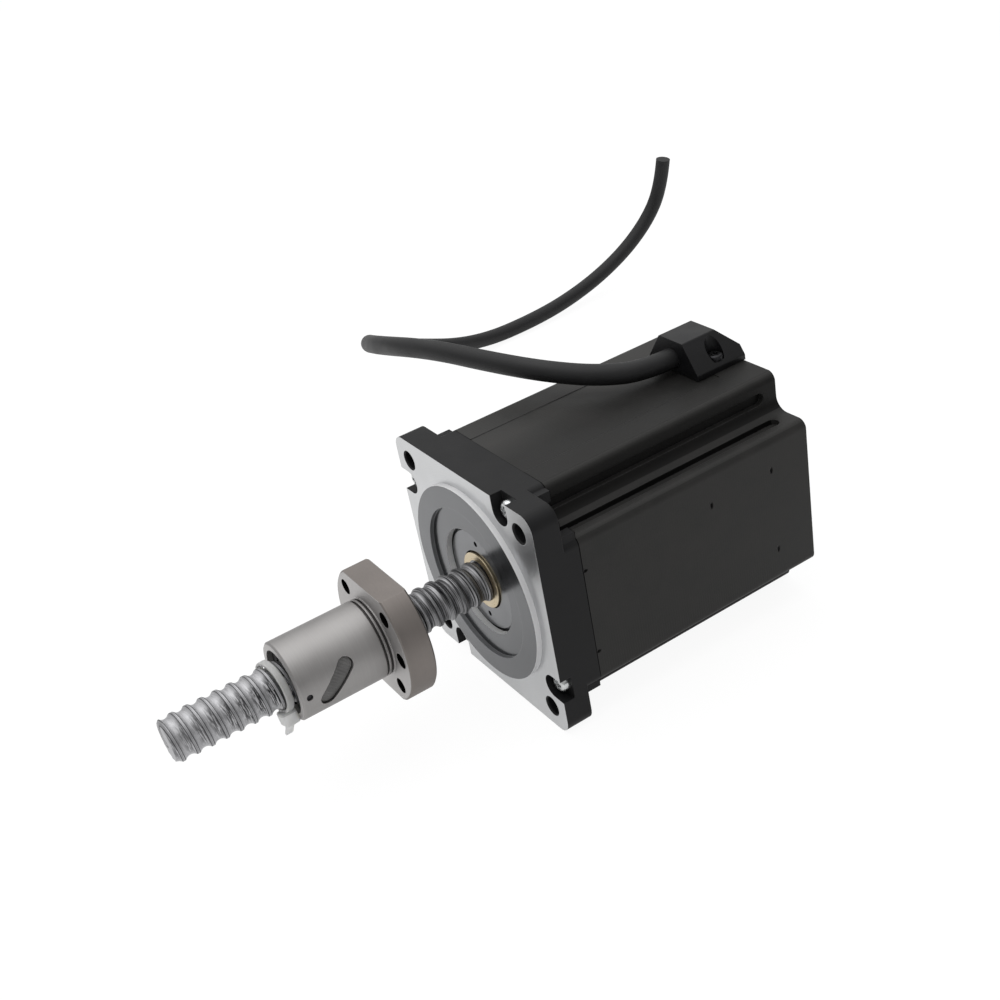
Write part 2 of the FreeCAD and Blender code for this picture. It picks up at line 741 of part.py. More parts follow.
def transport_tie():
    side = tie_band_width / 2
    inner = screw_diameter / 2 + running_gap + side * math.tan(math.radians(tie_band_tilt))
    outer = inner + tie_band_thickness
    band = ring(outer, inner, -side, side)
    lock = block(-tie_lock_length / 2, tie_lock_length / 2, outer - tie_band_thickness / 2,
                 outer + tie_lock_height, -tie_lock_width / 2, tie_lock_width / 2)
    tail_start = outer + tie_lock_height
    tail = block(-side, side, tail_start, tail_start + tie_tail_length,
                 -tie_band_thickness / 2, tie_band_thickness / 2)
    tie = band.fuse(spun(lock.fuse(tail), tie_lock_angle)).removeSplitter()
    tie.rotate(ORIGIN, Vec(0, 0, 1), tie_band_tilt)
    tie.translate(Vec(nut_end + tie_band_gap, 0, 0))
    return tie


def save(name, shape):
    shape.exportStep("parts/" + name + ".step")
    print(name, len(shape.Solids), "solids, valid", shape.isValid(), "volume", round(shape.Volume, 1))


os.makedirs("parts", exist_ok=True)

front_outer, front_inner, front_balls = bearing(
    front_bearing_bore, front_bearing_outer, front_bearing_width,
    front_ball_diameter, front_ball_count, bearing_front)
rear_outer, rear_inner, rear_balls = bearing(
    rear_bearing_bore, rear_bearing_outer, rear_bearing_width,
    rear_ball_diameter, rear_ball_count, rear_bearing_front)
front_wiper_face = front_wiper_x + wiper_thickness

save("front_end_cap", front_end_cap())
save("stator_core", stator_core())
save("rear_end_cap", rear_end_cap())
save("tie_bolts", tie_bolts())
save("stator_coils", stator_coils())
save("front_insulator", insulator(front_seam, front_seam + insulator_thickness))
save("rear_insulator", insulator(rear_seam - insulator_thickness, rear_seam))
save("front_bearing_outer_race", front_outer)
save("front_bearing_inner_race", front_inner)
save("front_bearing_balls", front_balls)
save("rear_bearing_outer_race", rear_outer)
save("rear_bearing_inner_race", rear_inner)
save("rear_bearing_balls", rear_balls)
save("bearing_retainer", bearing_retainer())
save("wave_spring", wave_spring())
save("gland_block", gland_block())
save("gland_screws", gland_screws())
save("lead_wires", lead_wires())
save("motor_cable", motor_cable())
save("ball_screw", ball_screw())
save("spacer_sleeve", ring(sleeve_diameter / 2, journal, bearing_front, screw_shoulder))
save("rotor_spacer", ring(spacer_diameter / 2, journal, rotor_front, bearing_rear))
save("front_rotor_cup", rotor_cup(magnet_front, rotor_front, 0))
save("rotor_magnet", ring(rotor_radius - magnet_inset, journal, magnet_rear, magnet_front))
save("rear_rotor_cup", rotor_cup(rotor_rear, magnet_rear, math.pi / rotor_tooth_count))
save("nut_body", nut_body())
save("return_inserts", return_inserts())
save("nut_balls", nut_balls())
save("front_wiper", wiper(front_wiper_x, front_wiper_face, front_wiper_face))
save("rear_wiper", wiper(nut_back, nut_back + wiper_thickness, nut_back))
save("wiper_screw", wiper_screw())
save("transport_tie", transport_tie())
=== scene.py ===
import math
import bmesh
import bpy
import numpy as np
from mathutils import Matrix


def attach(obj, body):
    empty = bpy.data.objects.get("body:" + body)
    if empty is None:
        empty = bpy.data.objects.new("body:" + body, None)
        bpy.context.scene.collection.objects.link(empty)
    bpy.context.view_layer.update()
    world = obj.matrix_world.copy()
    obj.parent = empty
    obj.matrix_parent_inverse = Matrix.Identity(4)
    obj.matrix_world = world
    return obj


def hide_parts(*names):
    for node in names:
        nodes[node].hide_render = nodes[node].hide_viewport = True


# Looks for a motor with a ball screw, its nut and a short cable. Lengths in the settings are millimetres.

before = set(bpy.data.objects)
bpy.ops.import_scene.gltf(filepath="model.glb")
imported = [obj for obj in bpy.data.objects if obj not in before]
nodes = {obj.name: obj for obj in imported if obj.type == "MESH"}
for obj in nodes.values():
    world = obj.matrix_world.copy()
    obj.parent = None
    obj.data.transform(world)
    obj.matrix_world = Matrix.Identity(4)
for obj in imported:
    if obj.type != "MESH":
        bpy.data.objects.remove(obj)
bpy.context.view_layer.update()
mm = 0.001
print("frame loaded,", len(nodes), "nodes")


def hexLinear(code):
    # sRGB hex to linear: c / 12.92 below 0.04045, else ((c + 0.055) / 1.055) to the power 2.4
    values = [int(code[i:i + 2], 16) / 255 for i in (1, 3, 5)]
    return [c / 12.92 if c <= 0.04045 else ((c + 0.055) / 1.055) ** 2.4 for c in values] + [1.0]


def setInputs(tree, node, inputs):
    # inputs: a list in the node's own order, or a dictionary by name or place; sockets are linked, values set
    for key, value in inputs.items() if isinstance(inputs, dict) else enumerate(inputs):
        if isinstance(value, bpy.types.NodeSocket):
            tree.links.new(value, node.inputs[key])
        else:
            node.inputs[key].default_value = value


def addNode(tree, kind, inputs=(), out=0, **settings):
    # adds one node, by its short name if it is a shader's, and gives back the output asked for
    node = tree.nodes.new(kind if "Node" in kind else "ShaderNode" + kind)
    for name, value in settings.items():
        setattr(node, name, value)
    setInputs(tree, node, inputs)
    return node.outputs[out] if len(node.outputs) else node


def newMaterial(name):
    material = bpy.data.materials.new(name)
    material.use_nodes = True
    return material, material.node_tree, material.node_tree.nodes["Principled BSDF"]


def dress(piece, material):
    piece.data.materials.clear()
    piece.data.materials.append(material)


def meshPiece(name, points, faces, uv=None, smooth=True):
    # points is an n by 3 array in millimetres, faces an m by 4 array of indices
    mesh = bpy.data.meshes.new(name)
    mesh.vertices.add(len(points))
    mesh.vertices.foreach_set("co", (np.asarray(points, float) * mm).ravel())
    mesh.loops.add(faces.size)
    mesh.loops.foreach_set("vertex_index", faces.ravel().astype(np.int32))
    mesh.polygons.add(len(faces))
    mesh.polygons.foreach_set("loop_start", np.arange(0, faces.size, faces.shape[1], dtype=np.int32))
    mesh.polygons.foreach_set("use_smooth", np.full(len(faces), smooth))
    mesh.update(calc_edges=True)
    if uv is not None:
        layer = mesh.uv_layers.new(name="surface")
        layer.data.foreach_set("uv", np.asarray(uv, float)[faces.ravel()].ravel())
    mesh.validate()
    piece = bpy.data.objects.new(name, mesh)
    bpy.context.scene.collection.objects.link(piece)
    return piece


def closeMesh(piece, sharp=40, double=2e-6, folded=1e-6):
    # merges doubled points, drops folded faces, turns faces outwards and marks edges over the angle as sharp
    work = bmesh.new()
    work.from_mesh(piece.data)
    bmesh.ops.remove_doubles(work, verts=work.verts, dist=double)
    bmesh.ops.dissolve_degenerate(work, edges=work.edges, dist=folded)
    bmesh.ops.recalc_face_normals(work, faces=work.faces)
    for edge in work.edges:
        edge.smooth = edge.calc_face_angle(0) < math.radians(sharp)
    work.to_mesh(piece.data)
    work.free()


def gridFaces(rows, columns, closed=False):
    # quads between neighbours of a grid of points; closed joins the last column to the first
    index = np.arange(rows * columns).reshape(rows, columns)
    ahead = np.roll(index, -1, 1)
    if not closed:
        index, ahead = index[:, :-1], ahead[:, :-1]
    return np.stack([index[:-1], ahead[:-1], ahead[1:], index[1:]], -1).reshape(-1, 4)


def joinGrids(grids):
    # several (points, faces) surfaces as one, with their indices moved on
    points, faces, first = [], [], 0
    for surface, quads in grids:
        points.append(surface)
        faces.append(quads + first)
        first += len(surface)
    return np.concatenate(points), np.concatenate(faces)


# Camera, from the photo's own perspective: the flange, screw and nut all fall on their places
cameraPlan = {
    "place": (170.81, 355.45, 262.83),
    "right": (-0.82392715, 0.54081283, -0.16930899),
    "up": (-0.40435354, -0.35172155, 0.84426901),
    "ahead": (-0.3970419, -0.76407685, -0.50847252),
    "lens": 49.543,
    "sensor": 36.0,
    "near": 10.0,
    "far": 50000.0,
}
cameraData = bpy.data.cameras.new("camera")
cameraData.lens = cameraPlan["lens"]
cameraData.sensor_width = cameraPlan["sensor"]
cameraData.clip_start = cameraPlan["near"] * mm
cameraData.clip_end = cameraPlan["far"] * mm
camera = bpy.data.objects.new("camera", cameraData)
axes = np.array([cameraPlan["right"], cameraPlan["up"], -np.array(cameraPlan["ahead"])]).T
turn = Matrix(axes.tolist()).to_4x4()
turn.translation = np.array(cameraPlan["place"]) * mm
camera.matrix_world = turn
bpy.context.scene.collection.objects.link(camera)
bpy.context.scene.camera = camera
bpy.context.scene.view_settings.view_transform = "Standard"
print("camera set")


# Cable: a NURBS line through the same route as its solid, thickened to the jacket
cablePlan = {
    "route": [
        (-98, 0, 48), (-80, 0, 48), (-65, -6.5, 50.2), (-53, -20, 52.4), (-44, -41, 53.2), (-36, -73, 52.4),
        (-35, -122, 40), (-55, -177, 17), (-92, -222, -13), (-143, -242, -38.65), (-187, -242, -38.65),
        (-222, -247, -35.5), (-248, -246, -25), (-267.5, -245, -11), (-277.5, -243, 5), (-279.5, -240.5, 21),
    ],
    "exit": (-92, 0, 48),
    "diameter": 7.7,
    "length": 510.0,
    "stepsAlong": 16,
    "stepsRound": 8,
}
cableCurve = bpy.data.curves.new("motorCable", "CURVE")
cableCurve.dimensions = "3D"
spline = cableCurve.splines.new("NURBS")
spline.points.add(len(cablePlan["route"]) - 1)
for point, place in zip(spline.points, cablePlan["route"]):
    point.co = (place[0] * mm, place[1] * mm, place[2] * mm, 1)
    # the points carry the jacket's half width, so the line's own bounds hold it; the bevel only multiplies it
    point.radius = cablePlan["diameter"] / 2 * mm
spline.order_u = 3
spline.use_endpoint_u = True
spline.resolution_u = cablePlan["stepsAlong"]
cableCurve.bevel_depth = 1.0
cableCurve.bevel_resolution = cablePlan["stepsRound"]
cableCurve.use_fill_caps = True
cable = bpy.data.objects.new("motorCable", cableCurve)
bpy.context.scene.collection.objects.link(cable)
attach(cable, "motor")
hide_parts("motor_cable")
print("cable laid")


# Ball screw: the profile across one pitch, carried round the axis as a helix
screwPlan = {
    "land": 7.75,
    "pitch": 5.0,
    "start": 1.6,
    "grooveCentre": 9.22,
    "grooveRadius": 2.44,
    "grooveSteps": 15,
    "edge": 0.12,
    "edgeSteps": (2.2, 0.9, 0.2),
    "edgeReach": 2.2,
    "drop": 0.14,
    "shoulder": -0.6,
    "tip": 117.0,
    "chamfer": 0.9,
    "fold": 2.2,
    "stepsPerTurn": 80,
    "shank": [(-0.6, 7.5), (-99.3, 7.5), (-99.3, 6.0), (-109.9, 6.0)],
    "shankSides": 64,
}


def makeScrew(plan):
    # s runs across one pitch from the groove's middle; the groove is a circle with its centre outside
    # the land, and its edge is eased where it meets the land.
    # x = start + pitch * turns + s, angle = 2 pi turns - 90 degrees
    half = plan["pitch"] / 2
    mouth = math.sqrt(plan["grooveRadius"] ** 2 - (plan["grooveCentre"] - plan["land"]) ** 2)
    ease = plan["edge"]
    inside = np.sin(np.linspace(-math.pi / 2, math.pi / 2, plan["grooveSteps"])) * (mouth - ease)
    outside = np.array([-half] + [-mouth - step * ease for step in plan["edgeSteps"]])
    s = np.concatenate([outside, inside, -outside[:0:-1]])
    deep = plan["grooveCentre"] - np.sqrt(np.maximum(plan["grooveRadius"] ** 2 - s ** 2, 0))
    fall = np.clip((np.abs(s) - mouth + ease) / (plan["edgeReach"] * ease), 0, 1)
    # 0.99 leaves the groove's two outermost points to the eased edge
    radius = np.where(np.abs(s) < mouth - 0.99 * ease, deep, plan["land"] - plan["drop"] * (1 - fall) ** 2)
    radius = np.minimum(radius, plan["land"])
    steps = plan["stepsPerTurn"]
    first = math.floor((plan["shoulder"] - plan["start"]) / plan["pitch"]) - 1
    last = math.ceil((plan["tip"] - plan["start"]) / plan["pitch"]) + 1
    turns = np.arange(first * steps, last * steps + 1) / steps
    x = plan["start"] + plan["pitch"] * turns[:, None] + s[None, :]
    r = np.repeat(radius[None, :], len(turns), 0)
    # past either end the surface folds flat onto the end face and closes on the axis
    r = np.minimum(r, plan["land"] - np.clip(x - plan["tip"] + plan["chamfer"], 0, plan["chamfer"]))
    over = np.maximum(x - plan["tip"], 0) + np.maximum(plan["shoulder"] - x, 0)
    r = r * np.clip(1 - over / plan["fold"], 0, 1)
    x = np.clip(x, plan["shoulder"], plan["tip"])
    angle = (2 * math.pi * turns - math.pi / 2)[:, None] + 0 * s[None, :]
    points = np.stack([x, r * np.cos(angle), r * np.sin(angle)], -1).reshape(-1, 3)
    columns = len(s)
    index = np.arange(len(turns) * columns).reshape(len(turns), columns)
    # one turn's last column joins the next turn's first
    joined = np.stack([
        index[:-1 - steps, -1], index[steps:-1, 0], index[steps + 1:, 0], index[1:-steps, -1],
    ], -1)
    along = np.repeat(turns[:, None], columns, 1) * 2 * math.pi * plan["land"] * mm
    uv = np.stack([along, np.repeat(s[None, :] * mm, len(turns), 0)], -1)
    return points, np.concatenate([gridFaces(len(turns), columns), joined]), uv.reshape(-1, 2)


def makeTurned(profile, sides):
    # x and radius of a profile carried round the axis: y = r cos a, z = r sin a
    profile = np.array(profile, float)
    angle = np.linspace(0, 2 * math.pi, sides, endpoint=False)
    points = np.stack([
        np.repeat(profile[:, 0:1], sides, 1),
        profile[:, 1:2] * np.cos(angle),
        profile[:, 1:2] * np.sin(angle),
    ], -1).reshape(-1, 3)
    return points, gridFaces(len(profile), sides, closed=True)


screwPoints, screwFaces, screwUv = makeScrew(screwPlan)
ballScrew = meshPiece("ballScrew", screwPoints, screwFaces, screwUv)
closeMesh(ballScrew, sharp=50)
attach(ballScrew, "screw")
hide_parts("ball_screw")
shankProfile = [(screwPlan["shank"][0][0], 0)] + screwPlan["shank"] + [(screwPlan["shank"][-1][0], 0)]
shankPoints, shankFaces = makeTurned(shankProfile, screwPlan["shankSides"])
screwShank = meshPiece("screwShank", shankPoints, shankFaces)
closeMesh(screwShank)
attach(screwShank, "screw")
print("screw turned,", len(screwFaces), "faces")


# Pan heads with a cross recess, for the tie bolts and the clamp's screws
boltPlan = {
    "head": 6.6, "height": 2.8, "round": 1.1, "shank": 4.0, "from": -110.5, "seat": -4.5,
    "places": [(24.6, 38.0), (-38.0, 24.6), (-24.6, -38.0), (38.0, -24.6)],
    "recess": {"arm": 1.75, "slot": 0.46, "depth": 1.5},
}
clampScrewPlan = {
    "head": 5.5, "height": 2.2, "round": 0.8, "shank": 3.0, "from": 38.4, "seat": 46.4,
    "places": [(-103, -10), (-103, 10)],
    "recess": {"arm": 1.45, "slot": 0.4, "depth": 1.2},
}
# What both heads share: the dome's height, how much of its depth the recess loses towards the arms' ends,
# and the grid's lines in shares of the slot's half width, of the arm and of the head's radius
headPlan = {
    "dome": 0.18, "slope": 0.35, "slotLines": (0.0, 0.7, 1.0, 1.25), "between": 0.3,
    "armLines": (0.9, 1.0, 1.12), "rimLines": (0.72, 0.82, 0.9, 0.96, 1.0),
}


def makePanHead(plan):
    # a square grid pulled to a disc: a = u sqrt(1 - v v / 2), b = v sqrt(1 - u u / 2). The top is a shallow
    # dome, its rim a quarter circle, and the cross is sunk where one of a and b lies within the slot
    recess = plan["recess"]
    radius = plan["head"] / 2
    slot, arm = recess["slot"] / radius, recess["arm"] / radius
    slotLines, armLines = slot * np.array(headPlan["slotLines"]), arm * np.array(headPlan["armLines"])
    side = np.concatenate([slotLines, [headPlan["between"]], armLines, headPlan["rimLines"]])
    line = np.concatenate([-side[:0:-1], side])
    u, v = np.meshgrid(line, line, indexing="ij")
    a = u * np.sqrt(1 - v ** 2 / 2)
    b = v * np.sqrt(1 - u ** 2 / 2)
    r = np.sqrt(a ** 2 + b ** 2)
    flat = 1 - plan["round"] / radius
    rim = np.clip((r - flat) / (1 - flat), 0, 1)
    dome = headPlan["dome"]
    top = plan["height"] - dome * r ** 2 - (plan["round"] - dome) * (1 - np.sqrt(1 - rim ** 2))
    near, far = np.minimum(np.abs(u), np.abs(v)), np.maximum(np.abs(u), np.abs(v))
    sunk = np.clip((slotLines[-1] - near) / (slotLines[-1] - slot), 0, 1)
    sunk = sunk * np.clip((armLines[-1] - far) / (armLines[-1] - armLines[0]), 0, 1)
    top = top - sunk * recess["depth"] * (1 - headPlan["slope"] * r / arm * (r < arm))
    upper = np.stack([a * radius, b * radius, top], -1).reshape(-1, 3)
    # the side runs down from the rim to the seat and in to the shank, round to its end
    count = len(line)
    edge = np.arange(count)
    ring = np.concatenate([
        np.stack([edge, 0 * edge], 1), np.stack([0 * edge + count - 1, edge], 1)[1:],
        np.stack([edge[::-1], 0 * edge + count - 1], 1)[1:], np.stack([0 * edge, edge[::-1]], 1)[1:-1],
    ])
    rimPoints = np.stack([a, b], -1)[ring[:, 0], ring[:, 1]]
    rimTop = top[ring[:, 0], ring[:, 1]]
    drop = abs(plan["seat"] - plan["from"])
    stations = [(radius, rimTop), (radius, 0 * rimTop), (plan["shank"] / 2, 0 * rimTop),
                (plan["shank"] / 2, 0 * rimTop - drop), (0.0, 0 * rimTop - drop)]
    skirt = [np.column_stack([rimPoints * size, level]) for size, level in stations]
    return joinGrids([
        (upper, gridFaces(count, count)),
        (np.concatenate(skirt), gridFaces(len(stations), len(ring), closed=True)),
    ])


def placeScrews(name, plan, put, body, node):
    points, faces = makePanHead(plan)
    grids = [(put(points, place), faces) for place in plan["places"]]
    piece = meshPiece(name, *joinGrids(grids))
    closeMesh(piece, sharp=38)
    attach(piece, body)
    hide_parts(node)


def alongX(points, place):
    station = boltPlan["seat"] + points[:, 2]
    return np.column_stack([station, place[0] + points[:, 0], place[1] + points[:, 1]])


def alongZ(points, place):
    height = clampScrewPlan["seat"] + points[:, 2]
    return np.column_stack([place[0] - points[:, 1], place[1] + points[:, 0], height])


placeScrews("tieBolts", boltPlan, alongX, "motor", "tie_bolts")
placeScrews("clampScrews", clampScrewPlan, alongZ, "motor", "gland_screws")
print("screws made")


# Transport tie: a band round the screw, its locking head and the cut tail
tiePlan = {
    "station": 79.25, "tilt": 7.0, "inner": 8.2, "thick": 1.1, "width": 2.5, "bandBlunt": 0.4,
    "stepsRound": 120, "stepsSection": 32,
    "headFrom": 8.75, "headTo": 13.9, "headLength": 5.2, "headWidth": 6.0, "headAngle": -73.0,
    "headBlunt": 0.28,
    "tailRoot": 1.0, "tailTo": 21.6, "tailWidth": 3.0, "tailLean": -46.0, "tailBlunt": 0.3, "tailRows": 81,
    "toothPitch": 0.8, "toothDepth": 0.12,
}


def roundedBox(size, centre, power, rows=33, columns=48):
    # a ball whose sines and cosines are raised to a small power, which squares it off with round edges
    u = np.linspace(-math.pi / 2, math.pi / 2, rows)[:, None]
    v = np.linspace(0, 2 * math.pi, columns, endpoint=False)[None, :]
    bend = [np.cos(u) + 0 * v, np.cos(v) + 0 * u, np.sin(v) + 0 * u, np.sin(u) + 0 * v]
    bend = [np.sign(b) * np.abs(b) ** power for b in bend]
    shape = np.stack([bend[0] * bend[1], bend[3], bend[0] * bend[2]], -1).reshape(-1, 3)
    return shape * np.array(size) / 2 + np.array(centre), gridFaces(rows, columns, closed=True)


def makeTie(plan):
    # the band is a rounded oblong carried round a circle; head and tail are rounded boxes, the tail toothed
    rows, columns = plan["stepsRound"], plan["stepsSection"]
    around = np.linspace(0, 2 * math.pi, rows)[:, None]
    section = np.linspace(0, 2 * math.pi, columns, endpoint=False)[None, :]
    blunt = [np.sign(f(section)) * np.abs(f(section)) ** plan["bandBlunt"] for f in (np.cos, np.sin)]
    radius = plan["inner"] + plan["thick"] / 2 * (1 + blunt[1])
    band = np.stack([
        plan["width"] / 2 * blunt[0] + 0 * around, radius * np.cos(around), radius * np.sin(around),
    ], -1).reshape(-1, 3)
    headSize = (plan["headLength"], plan["headTo"] - plan["headFrom"], plan["headWidth"])
    headMiddle = (0, (plan["headTo"] + plan["headFrom"]) / 2, 0)
    head, headFaces = roundedBox(headSize, headMiddle, plan["headBlunt"])
    start = plan["headTo"] - plan["tailRoot"]
    tailSize = (plan["tailWidth"], plan["tailTo"] - start, plan["thick"])
    tailMiddle = (0, (plan["tailTo"] + start) / 2, 0)
    tail, tailFaces = roundedBox(tailSize, tailMiddle, plan["tailBlunt"], rows=plan["tailRows"])
    teeth = (tail[:, 1] / plan["toothPitch"]) % 1 * plan["toothDepth"]
    tail[:, 2] -= np.where(tail[:, 2] > 0, teeth, 0)
    # the tail leans over where it leaves the head, then both turn to the head's place round the screw
    moves = ((tail, plan["tailLean"], start), (head, plan["headAngle"], 0), (tail, plan["headAngle"], 0))
    for part, turn, pivot in moves:
        lean = math.radians(turn)
        y, z = part[:, 1] - pivot, part[:, 2].copy()
        part[:, 1] = y * math.cos(lean) - z * math.sin(lean) + pivot
        part[:, 2] = y * math.sin(lean) + z * math.cos(lean)
    bandFaces = gridFaces(rows, columns, closed=True)
    points, faces = joinGrids([(band, bandFaces), (head, headFaces), (tail, tailFaces)])
    tilt = math.radians(plan["tilt"])
    x, y = points[:, 0].copy(), points[:, 1].copy()
    points[:, 0] = x * math.cos(tilt) - y * math.sin(tilt) + plan["station"]
    points[:, 1] = x * math.sin(tilt) + y * math.cos(tilt)
    return points, faces


transportTie = meshPiece("transportTie", *makeTie(tiePlan))
closeMesh(transportTie, sharp=60)
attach(transportTie, "nut")
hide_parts("transport_tie")
print("tie made")


# Ribbed outer faces of the nut's two return inserts, seated on the inserts
insertPlan = {
    "halfLength": 8.15, "halfWidth": 2.45, "angle": 44.0, "radius": 13.1, "foot": 0.3,
    "rib": 0.16, "ribPitch": 1.05, "ribFade": 0.9, "stepsAlong": 161, "stepsAcross": 13,
    "stations": (63.0, 50.5), "turns": (2.0, 182.0),
}


def makeInsertFace(plan, station, turn):
    # x runs along the bar and v across it, and half is its half width, round at the ends; the bar is turned
    # about the radial line and wrapped on the nut's cylinder, where the radius rises and falls with each rib
    along = np.linspace(-1, 1, plan["stepsAlong"])[:, None]
    x = plan["halfLength"] * np.sin(along * math.pi / 2)
    past = np.maximum(np.abs(x) - plan["halfLength"] + plan["halfWidth"], 0)
    half = np.sqrt(np.maximum(plan["halfWidth"] ** 2 - past ** 2, 0))
    v = np.linspace(-1, 1, plan["stepsAcross"])[None, :]
    wave = 0.5 + 0.5 * np.cos(2 * math.pi * x / plan["ribPitch"])
    rib = plan["rib"] * wave * np.sqrt(1 - plan["ribFade"] * v ** 4)
    loopV = np.concatenate([v, v[:, ::-1]], 1) + 0 * x
    level = np.concatenate([plan["radius"] + rib + 0 * v, plan["radius"] - plan["foot"] + 0 * v + 0 * x], 1)
    a = math.radians(plan["angle"])
    z = half * loopV
    across = x * math.cos(a) + z * math.sin(a)
    height = z * math.cos(a) - x * math.sin(a)
    out = np.sqrt(level ** 2 - height ** 2)
    t = math.radians(turn)
    points = np.stack([
        station + across, out * math.cos(t) - height * math.sin(t), out * math.sin(t) + height * math.cos(t),
    ], -1).reshape(-1, 3)
    return points, gridFaces(plan["stepsAlong"], level.shape[1], closed=True)


insertGrids = [makeInsertFace(insertPlan, s, t) for s, t in zip(insertPlan["stations"], insertPlan["turns"])]
insertRibs = meshPiece("insertRibs", *joinGrids(insertGrids))
closeMesh(insertRibs, sharp=50)
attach(insertRibs, "nut")
print("insert faces made")


# Machine pieces keep their own mesh; this joins its loose triangles and shades curved faces smooth
def smoothGroup(sharp, double=1e-6):
    tree = bpy.data.node_groups.new("smoothCurves", "GeometryNodeTree")
    tree.interface.new_socket("Geometry", in_out="INPUT", socket_type="NodeSocketGeometry")
    tree.interface.new_socket("Geometry", in_out="OUTPUT", socket_type="NodeSocketGeometry")
    shape = addNode(tree, "NodeGroupInput")
    shape = addNode(tree, "GeometryNodeMergeByDistance", {"Geometry": shape, "Distance": double})
    angle = addNode(tree, "GeometryNodeInputMeshEdgeAngle", out="Unsigned Angle")
    gentle = addNode(tree, "FunctionNodeCompare", [angle, math.radians(sharp)], operation="LESS_THAN")
    for domain, smooth in (("FACE", True), ("EDGE", gentle)):
        shape = addNode(tree, "GeometryNodeSetShadeSmooth", {"Geometry": shape, "Shade Smooth": smooth},
                        domain=domain)
    addNode(tree, "NodeGroupOutput", [shape])
    return tree


curves = smoothGroup(sharp=32)
for node in nodes.values():
    node.modifiers.new("smoothCurves", "NODES").node_group = curves
print("curved faces smoothed")


# What all finishes share: how far a turned grain drifts across the axis, the noise's detail, where the clouds
# begin and end, at which lean an edge is drawn lighter (wear and painted highlight), the grain's height, and
# the black of open joints and of painted shade
layerPlan = {"drift": 0.02, "detail": 3.0, "grainShare": 0.3, "cloud": (0.35, 0.65), "rubAndHighlightLean": (0.995, 0.88),
             "easeSamples": 8, "grainHeight": 0.3, "black": "#020202"}


def finishLayer(tree, plan):
    # two tones on cloudy patches, a fine grain in gloss and height, and edges eased and drawn lighter, partly
    # as wear and partly as a painted highlight.
    # A turned finish reads only the station and the distance from the axis, so its grain runs round the axis
    place = addNode(tree, "TexCoord", out="Object")
    x, y, z = addNode(tree, "SeparateXYZ", [place]).node.outputs
    flat = addNode(tree, "CombineXYZ", {"Y": y, "Z": z})
    radius = addNode(tree, "VectorMath", [flat], out="Value", operation="LENGTH")
    grainPlace = place
    if plan.get("turned"):
        drift = addNode(tree, "Math", [y, layerPlan["drift"]], operation="MULTIPLY")
        grainPlace = addNode(tree, "CombineXYZ", [x, radius, drift])
    grain, patch = [addNode(tree, "TexNoise", {
        "Vector": where, "Scale": 1 / (plan[size] * mm), "Detail": layerPlan["detail"],
    }, out="Fac") for where, size in ((grainPlace, "grain"), (place, "patch"))]
    cloud = addNode(tree, "Mix", {0: plan.get("grainShare", layerPlan["grainShare"]), 2: patch, 3: grain})
    cloud = addNode(tree, "MapRange", [cloud, *layerPlan["cloud"]])
    height = grain
    if "stripe" in plan:
        along, pitch = plan["stripe"]
        line = {"station": x, "radius": radius}[along]
        wave = addNode(tree, "Math", [line, 2 * math.pi / (pitch * mm)], operation="MULTIPLY")
        wave = addNode(tree, "Math", [wave], operation="SINE")
        height = addNode(tree, "Math", [wave, plan["stripeShare"], grain], operation="MULTIPLY_ADD")
    tones = [hexLinear(code) for code in plan["tones"]]
    colour = addNode(tree, "Mix", {0: cloud, 6: tones[0], 7: tones[1]}, out=2, data_type="RGBA")
    eased = addNode(tree, "Bevel", {"Radius": plan["ease"] * mm}, samples=layerPlan["easeSamples"])
    plain = addNode(tree, "NewGeometry", out="Normal")
    gaps = 0.0
    for station, half in plan.get("seams", []):
        # two pieces meet here: their edges aren't eased, and an open joint shows as a dark line
        meeting, gap = [addNode(tree, "Math", [x, station * mm, reach * mm], operation="COMPARE")
                        for reach in (2 * plan["ease"], half)]
        eased = addNode(tree, "Mix", {0: meeting, 4: eased, 5: plain}, out=1, data_type="VECTOR")
        colour = addNode(tree, "Mix", {0: gap, 6: colour, 7: hexLinear(layerPlan["black"])}, out=2,
                         data_type="RGBA")
        gaps = addNode(tree, "Math", [gaps, gap], operation="MAXIMUM")
    # painted highlight: eased edges take the lighter edge tone, partly wear, partly the light that rounded
    # edges catch
    leaning = addNode(tree, "VectorMath", [eased, plain], out="Value", operation="DOT_PRODUCT")
    rubbedAndHighlit = addNode(tree, "MapRange", [leaning, *layerPlan["rubAndHighlightLean"], 0.0, plan["rubAndHighlight"]])
    rubbedAndHighlit = addNode(tree, "Math", [rubbedAndHighlit, cloud], operation="MULTIPLY")
    colour = addNode(tree, "Mix", {0: rubbedAndHighlit, 6: colour, 7: hexLinear(plan["edge"])}, out=2, data_type="RGBA")
    rough = addNode(tree, "MapRange", [cloud, 0.0, 1.0, *plan["rough"]])
    normal = addNode(tree, "Bump", {"Strength": plan["bump"], "Height": height, "Normal": eased,
                                    "Distance": plan["grain"] * mm * layerPlan["grainHeight"]})
    return {"colour": colour, "rough": rough, "normal": normal, "x": x, "y": y, "z": z, "radius": radius,
            "plain": plain, "cloud": cloud, "eased": eased, "gaps": gaps}


def finish(name, plan, detail=None):
    # detail adds what one piece alone has, and gives back the shader's inputs that it changes
    material, tree, shader = newMaterial(name)
    layer = finishLayer(tree, plan)
    inputs = {"Base Color": layer["colour"], "Roughness": layer["rough"], "Normal": layer["normal"],
              "Metallic": plan.get("metal", 0.0), "Specular IOR Level": plan.get("shine", 0.5)}
    if detail:
        inputs.update(detail(tree, layer, plan))
    setInputs(tree, shader, inputs)
    return material


